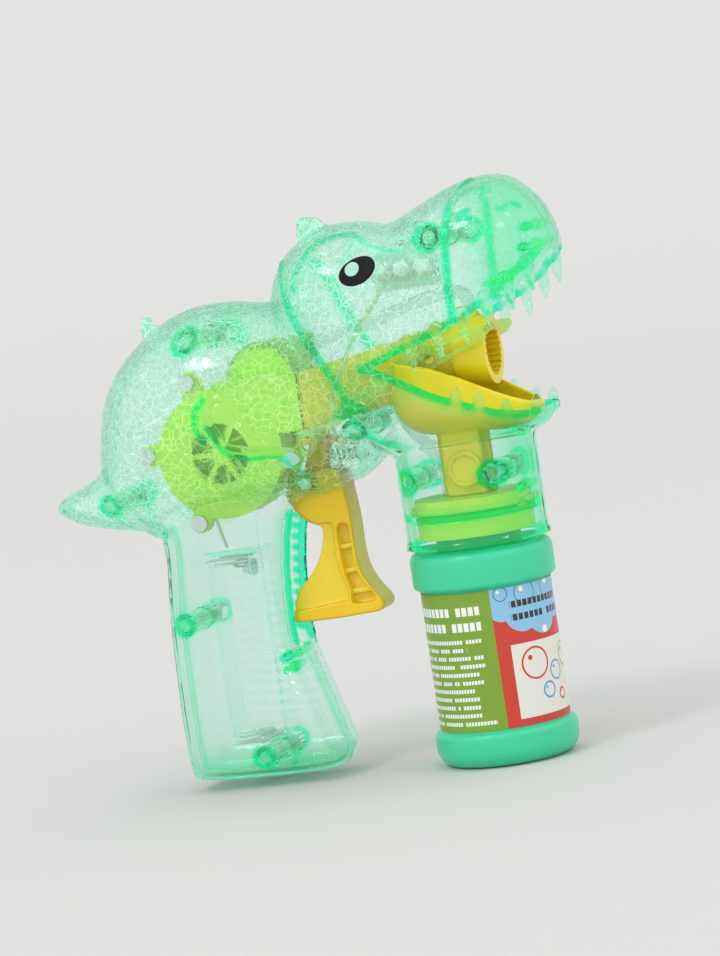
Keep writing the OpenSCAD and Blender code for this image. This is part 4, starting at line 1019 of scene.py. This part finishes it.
def label_paper():
    """Printed wrap: lime and red panels, plain bars in place of lettering, and a drift of bubbles."""
    m = Maker("label_paper", Roughness=0.32)
    split = m.node("SeparateXYZ", Vector=m.node("UVMap", uv_map="label").outputs["UV"])
    s, z = (Value(m.tree, split.outputs[axis]) * 100.0 for axis in "XY")
    front = s > RED_FROM
    current = (*LIME, 1)

    def paint(mask, rgb):
        nonlocal current
        current = m.blend(current, (*rgb, 1), mask)

    def disc(cs, cz, r):
        return ((s - cs) * (s - cs) + (z - cz) * (z - cz)) < r * r

    def noise(a, c):
        at = m.node("CombineXYZ", X=a, Y=c).outputs[0]
        return Value(m.tree, m.node("TexWhiteNoise", noise_dimensions="2D", Vector=at).outputs["Value"])

    def bars(low, pitch, count, letter, left, right, ragged, thick):
        """Rows of short dashes with ragged right ends."""
        row = ((z - low) / pitch).floor()
        inside = ((z - low) / pitch).fract() < thick
        ends = (noise(row, row * 0 + letter) * ragged * -1.0 + right)
        cell = (s / letter).floor()
        dash = ((s / letter).fract() < 0.76) * (noise(cell, row) > 0.16)
        return inside * dash * (s > left) * ((ends - s) > 0.0) * z.between(low, low + pitch * count)

    paint(bars(13.2, 2.45, 11, 1.0, 2, 47.5, 9, 0.46), WHITE)
    paint(bars(41.3, 4.6, 2, 2.0, 4, 47, 3, 0.56), WHITE)
    paint(front, RED)
    sky = front * (z > 45.0)
    for cloud in CLOUDS:
        sky = sky.either(disc(*cloud) * front)
    paint(sky, SKY)
    for cs, cz, r in SKY_BUBBLES:
        paint(disc(cs, cz, r) * (disc(cs, cz, r - 0.28) < 0.5) * front, INK)
        paint(disc(cs - r * 0.3, cz + r * 0.3, r * 0.22) * front, WHITE)
    paint(bars(42.6, 3.9, 2, 1.9, 54.5, 78, 3, 0.5) * front, DARK)
    paint(disc(66.2, 38.4, 1.15), WHITE)
    paint(s.between(53.2, 86) * z.between(13.5, 35.6), CREAM)
    for cs, cz, r, rgb in PANEL_BUBBLES:
        paint(disc(cs, cz, r) * (disc(cs, cz, r - 0.62) < 0.5), rgb)
        paint(disc(cs - r * 0.36, cz + r * 0.36, r * 0.16), rgb)
    m.set(m.shader, Base_Color=current, Normal=m.bump(m.noise(1400.0, 2.0), 0.08, 0.0001))
    return m


CLEAR = dict(Transmission_Weight=0.85, IOR=1.1)
# colour, roughness, mottling, and other values of the shader
PLASTICS = {
    "steel": ((0.72, 0.72, 0.73), 0.3, 0.05, dict(Metallic=1.0)),
    "tinned": ((0.80, 0.93, 0.87), 0.4, 0.05, dict(Metallic=0.3)),
    "brass": ((0.80, 0.60, 0.25), 0.3, 0.05, dict(Metallic=1.0)),
    "yellow_plastic": ((0.93, 0.70, 0.01), 0.33, 0.04, {}),
    # lime_inside also gives off a faint painted glow, which brightens the pieces seen through the casing
    "lime_inside": ((0.50, 0.80, 0.07), 0.4, 0.14,
                    dict(Emission_Color=(0.3, 0.5, 0.06, 1), Emission_Strength=0.12)),
    "amber_inside": ((0.78, 0.66, 0.03), 0.4, 0.1, {}),
    "white_plastic": ((0.86, 0.86, 0.84), 0.4, 0.03, {}),
    "hose_rubber": ((0.86, 0.93, 0.88), 0.2, 0.03, CLEAR),
    "tube_plastic": ((0.86, 0.93, 0.88), 0.2, 0.03, CLEAR),
    "mint_plastic": ((0.045, 0.63, 0.34), 0.3, 0.03, {}),
    "board": ((0.60, 0.82, 0.72), 0.5, 0.05, {}),
    "led_lens": ((0.84, 0.92, 0.90), 0.3, 0.02, {}),
    "wire_red": ((0.72, 0.90, 0.62), 0.3, 0.04, dict(CLEAR, Transmission_Weight=0.6)),
    "clear_lime": ((0.80, 0.95, 0.35), 0.2, 0.04, dict(CLEAR, Transmission_Weight=0.75)),
    "eye_black": ((0.006, 0.007, 0.008), 0.5, 0.2, dict(bump=0.01, Specular_IOR_Level=0.15)),
    "eye_pale": ((0.42, 0.72, 0.60), 0.2, 0.06, dict(bump=0.01)),
}
MATERIALS = {name: plastic(name, *look, **extra).material for name, (*look, extra) in PLASTICS.items()}
MATERIALS.update(clear_green=clear_green().material, label_paper=label_paper().material)
SLOTS = {s["node"]: s["material_slot"] for s in frame["record"]["subparts"]}
# pieces whose colour differs from their slot's, as they are seen through the casing
INSIDE = {
    "lime_inside": ("fan_housing", "fan_cover", "impeller", "pump_housing", "pump_lid", "motor_plate",
                    "pump_gear", "reduction_gear", "motor_end_cap", "bottle_cap"),
    "amber_inside": ("air_duct",),
    "clear_lime": ("film_wiper", "push_rod"),
    "tinned": ("contact_springs", "contact_plates"),
}
PAINT = {**SLOTS, **{piece: name for name, pieces in INSIDE.items() for piece in pieces}}
for name, ob in frame["nodes"].items():
    ob.data.materials.clear()
    ob.data.materials.append(MATERIALS[PAINT[name]])

for side in (-1, 1):
    word = "right" if side < 0 else "left"
    finish_piece(shell_object(side), "casing", "clear_green", f"{word}_shell")
    g = Grid((20, -33 if side < 0 else -1, 143), (40, 1 if side < 0 else 33, 159), 0.5)
    eye_print(side, g, casing_field(g)[0])
finish_piece(tray_object(), "casing", "yellow_plastic", "drip_tray")
ob = finish_piece(trigger_object(), "trigger", "yellow_plastic", "trigger")
ob.data.materials[0] = trigger_yellow().material
ob = finish_piece(spring_object(), "casing", "steel", "trigger_spring")
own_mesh(ob)
finish_piece(bottle_object(), "bottle", "mint_plastic", "bottle")
finish_piece(label_object(), "bottle", "label_paper", "bottle_label")


# ---------- camera, backdrop and light ----------

PICTURE_HEIGHT = 956.0        # the focal length is given in these units


def direction(azimuth, elevation):
    """Unit vector away from the toy. Azimuth 0 looks at its right side, and 90 at its face."""
    a, e = math.radians(azimuth), math.radians(elevation)
    return Vector((math.sin(a) * math.cos(e), -math.cos(a) * math.cos(e), math.sin(e)))


def camera(azimuth=18.0, elevation=4.5, roll=8.5, distance=1.2, target=(0.013, 0.0, 0.0886), focal=4000.0):
    away = direction(azimuth, elevation)
    cam = bpy.data.objects.new("camera", bpy.data.cameras.new("camera"))
    bpy.context.scene.collection.objects.link(cam)
    cam.location = Vector(target) + away * distance
    turned = away.to_track_quat("Z", "Y") @ Matrix.Rotation(-math.radians(roll), 3, "Z").to_quaternion()
    cam.rotation_euler = turned.to_euler()
    cam.data.sensor_fit = "VERTICAL"
    cam.data.sensor_height = sensor = 36.0
    cam.data.lens = focal / PICTURE_HEIGHT * sensor
    cam.data.clip_end = 20
    bpy.context.scene.camera = cam


def backdrop():
    """A floor all round, with a wall far behind it that rises in one sweep."""
    bend, back, top, wide = 0.9, 1.6, 3.5, 3.0
    line = [(-3.0, 0.0), (back, 0.0)]
    turns = np.linspace(0.05, math.pi / 2, 24)
    line += [(back + bend * math.sin(t), bend - bend * math.cos(t)) for t in turns]
    line += [(back + bend, top)]
    verts = [(sx * wide, y, z) for y, z in line for sx in (-1, 1)]
    faces = [(2 * i, 2 * i + 1, 2 * i + 3, 2 * i + 2) for i in range(len(line) - 1)]
    return make_object("backdrop", np.array(verts) / MM, faces)


camera()
floor = backdrop()
floor.data.materials.append(plastic("backdrop", (0.645, 0.646, 0.638), 0.9, 0.0, bump=0.0).material)

world = bpy.data.worlds.new("world")
bpy.context.scene.world = world
world.use_nodes = True
world.node_tree.nodes["Background"].inputs[0].default_value = (0.86, 0.865, 0.86, 1)
world.node_tree.nodes["Background"].inputs[1].default_value = 1.27


def sun(name, azimuth, elevation, spread, power):
    data = bpy.data.lights.new(name, "SUN")
    data.angle, data.energy = math.radians(spread), power
    ob = bpy.data.objects.new(name, data)
    bpy.context.scene.collection.objects.link(ob)
    away = direction(azimuth, elevation)
    ob.rotation_euler = away.to_track_quat("Z", "Y").to_euler()


sun("key", -25, 46, 13, 0.50)
sun("side", 64, 30, 8, 0.14)
scene = bpy.context.scene
scene.view_settings.view_transform = "Standard"
scene.cycles.max_bounces = 24
scene.cycles.transmission_bounces = 24
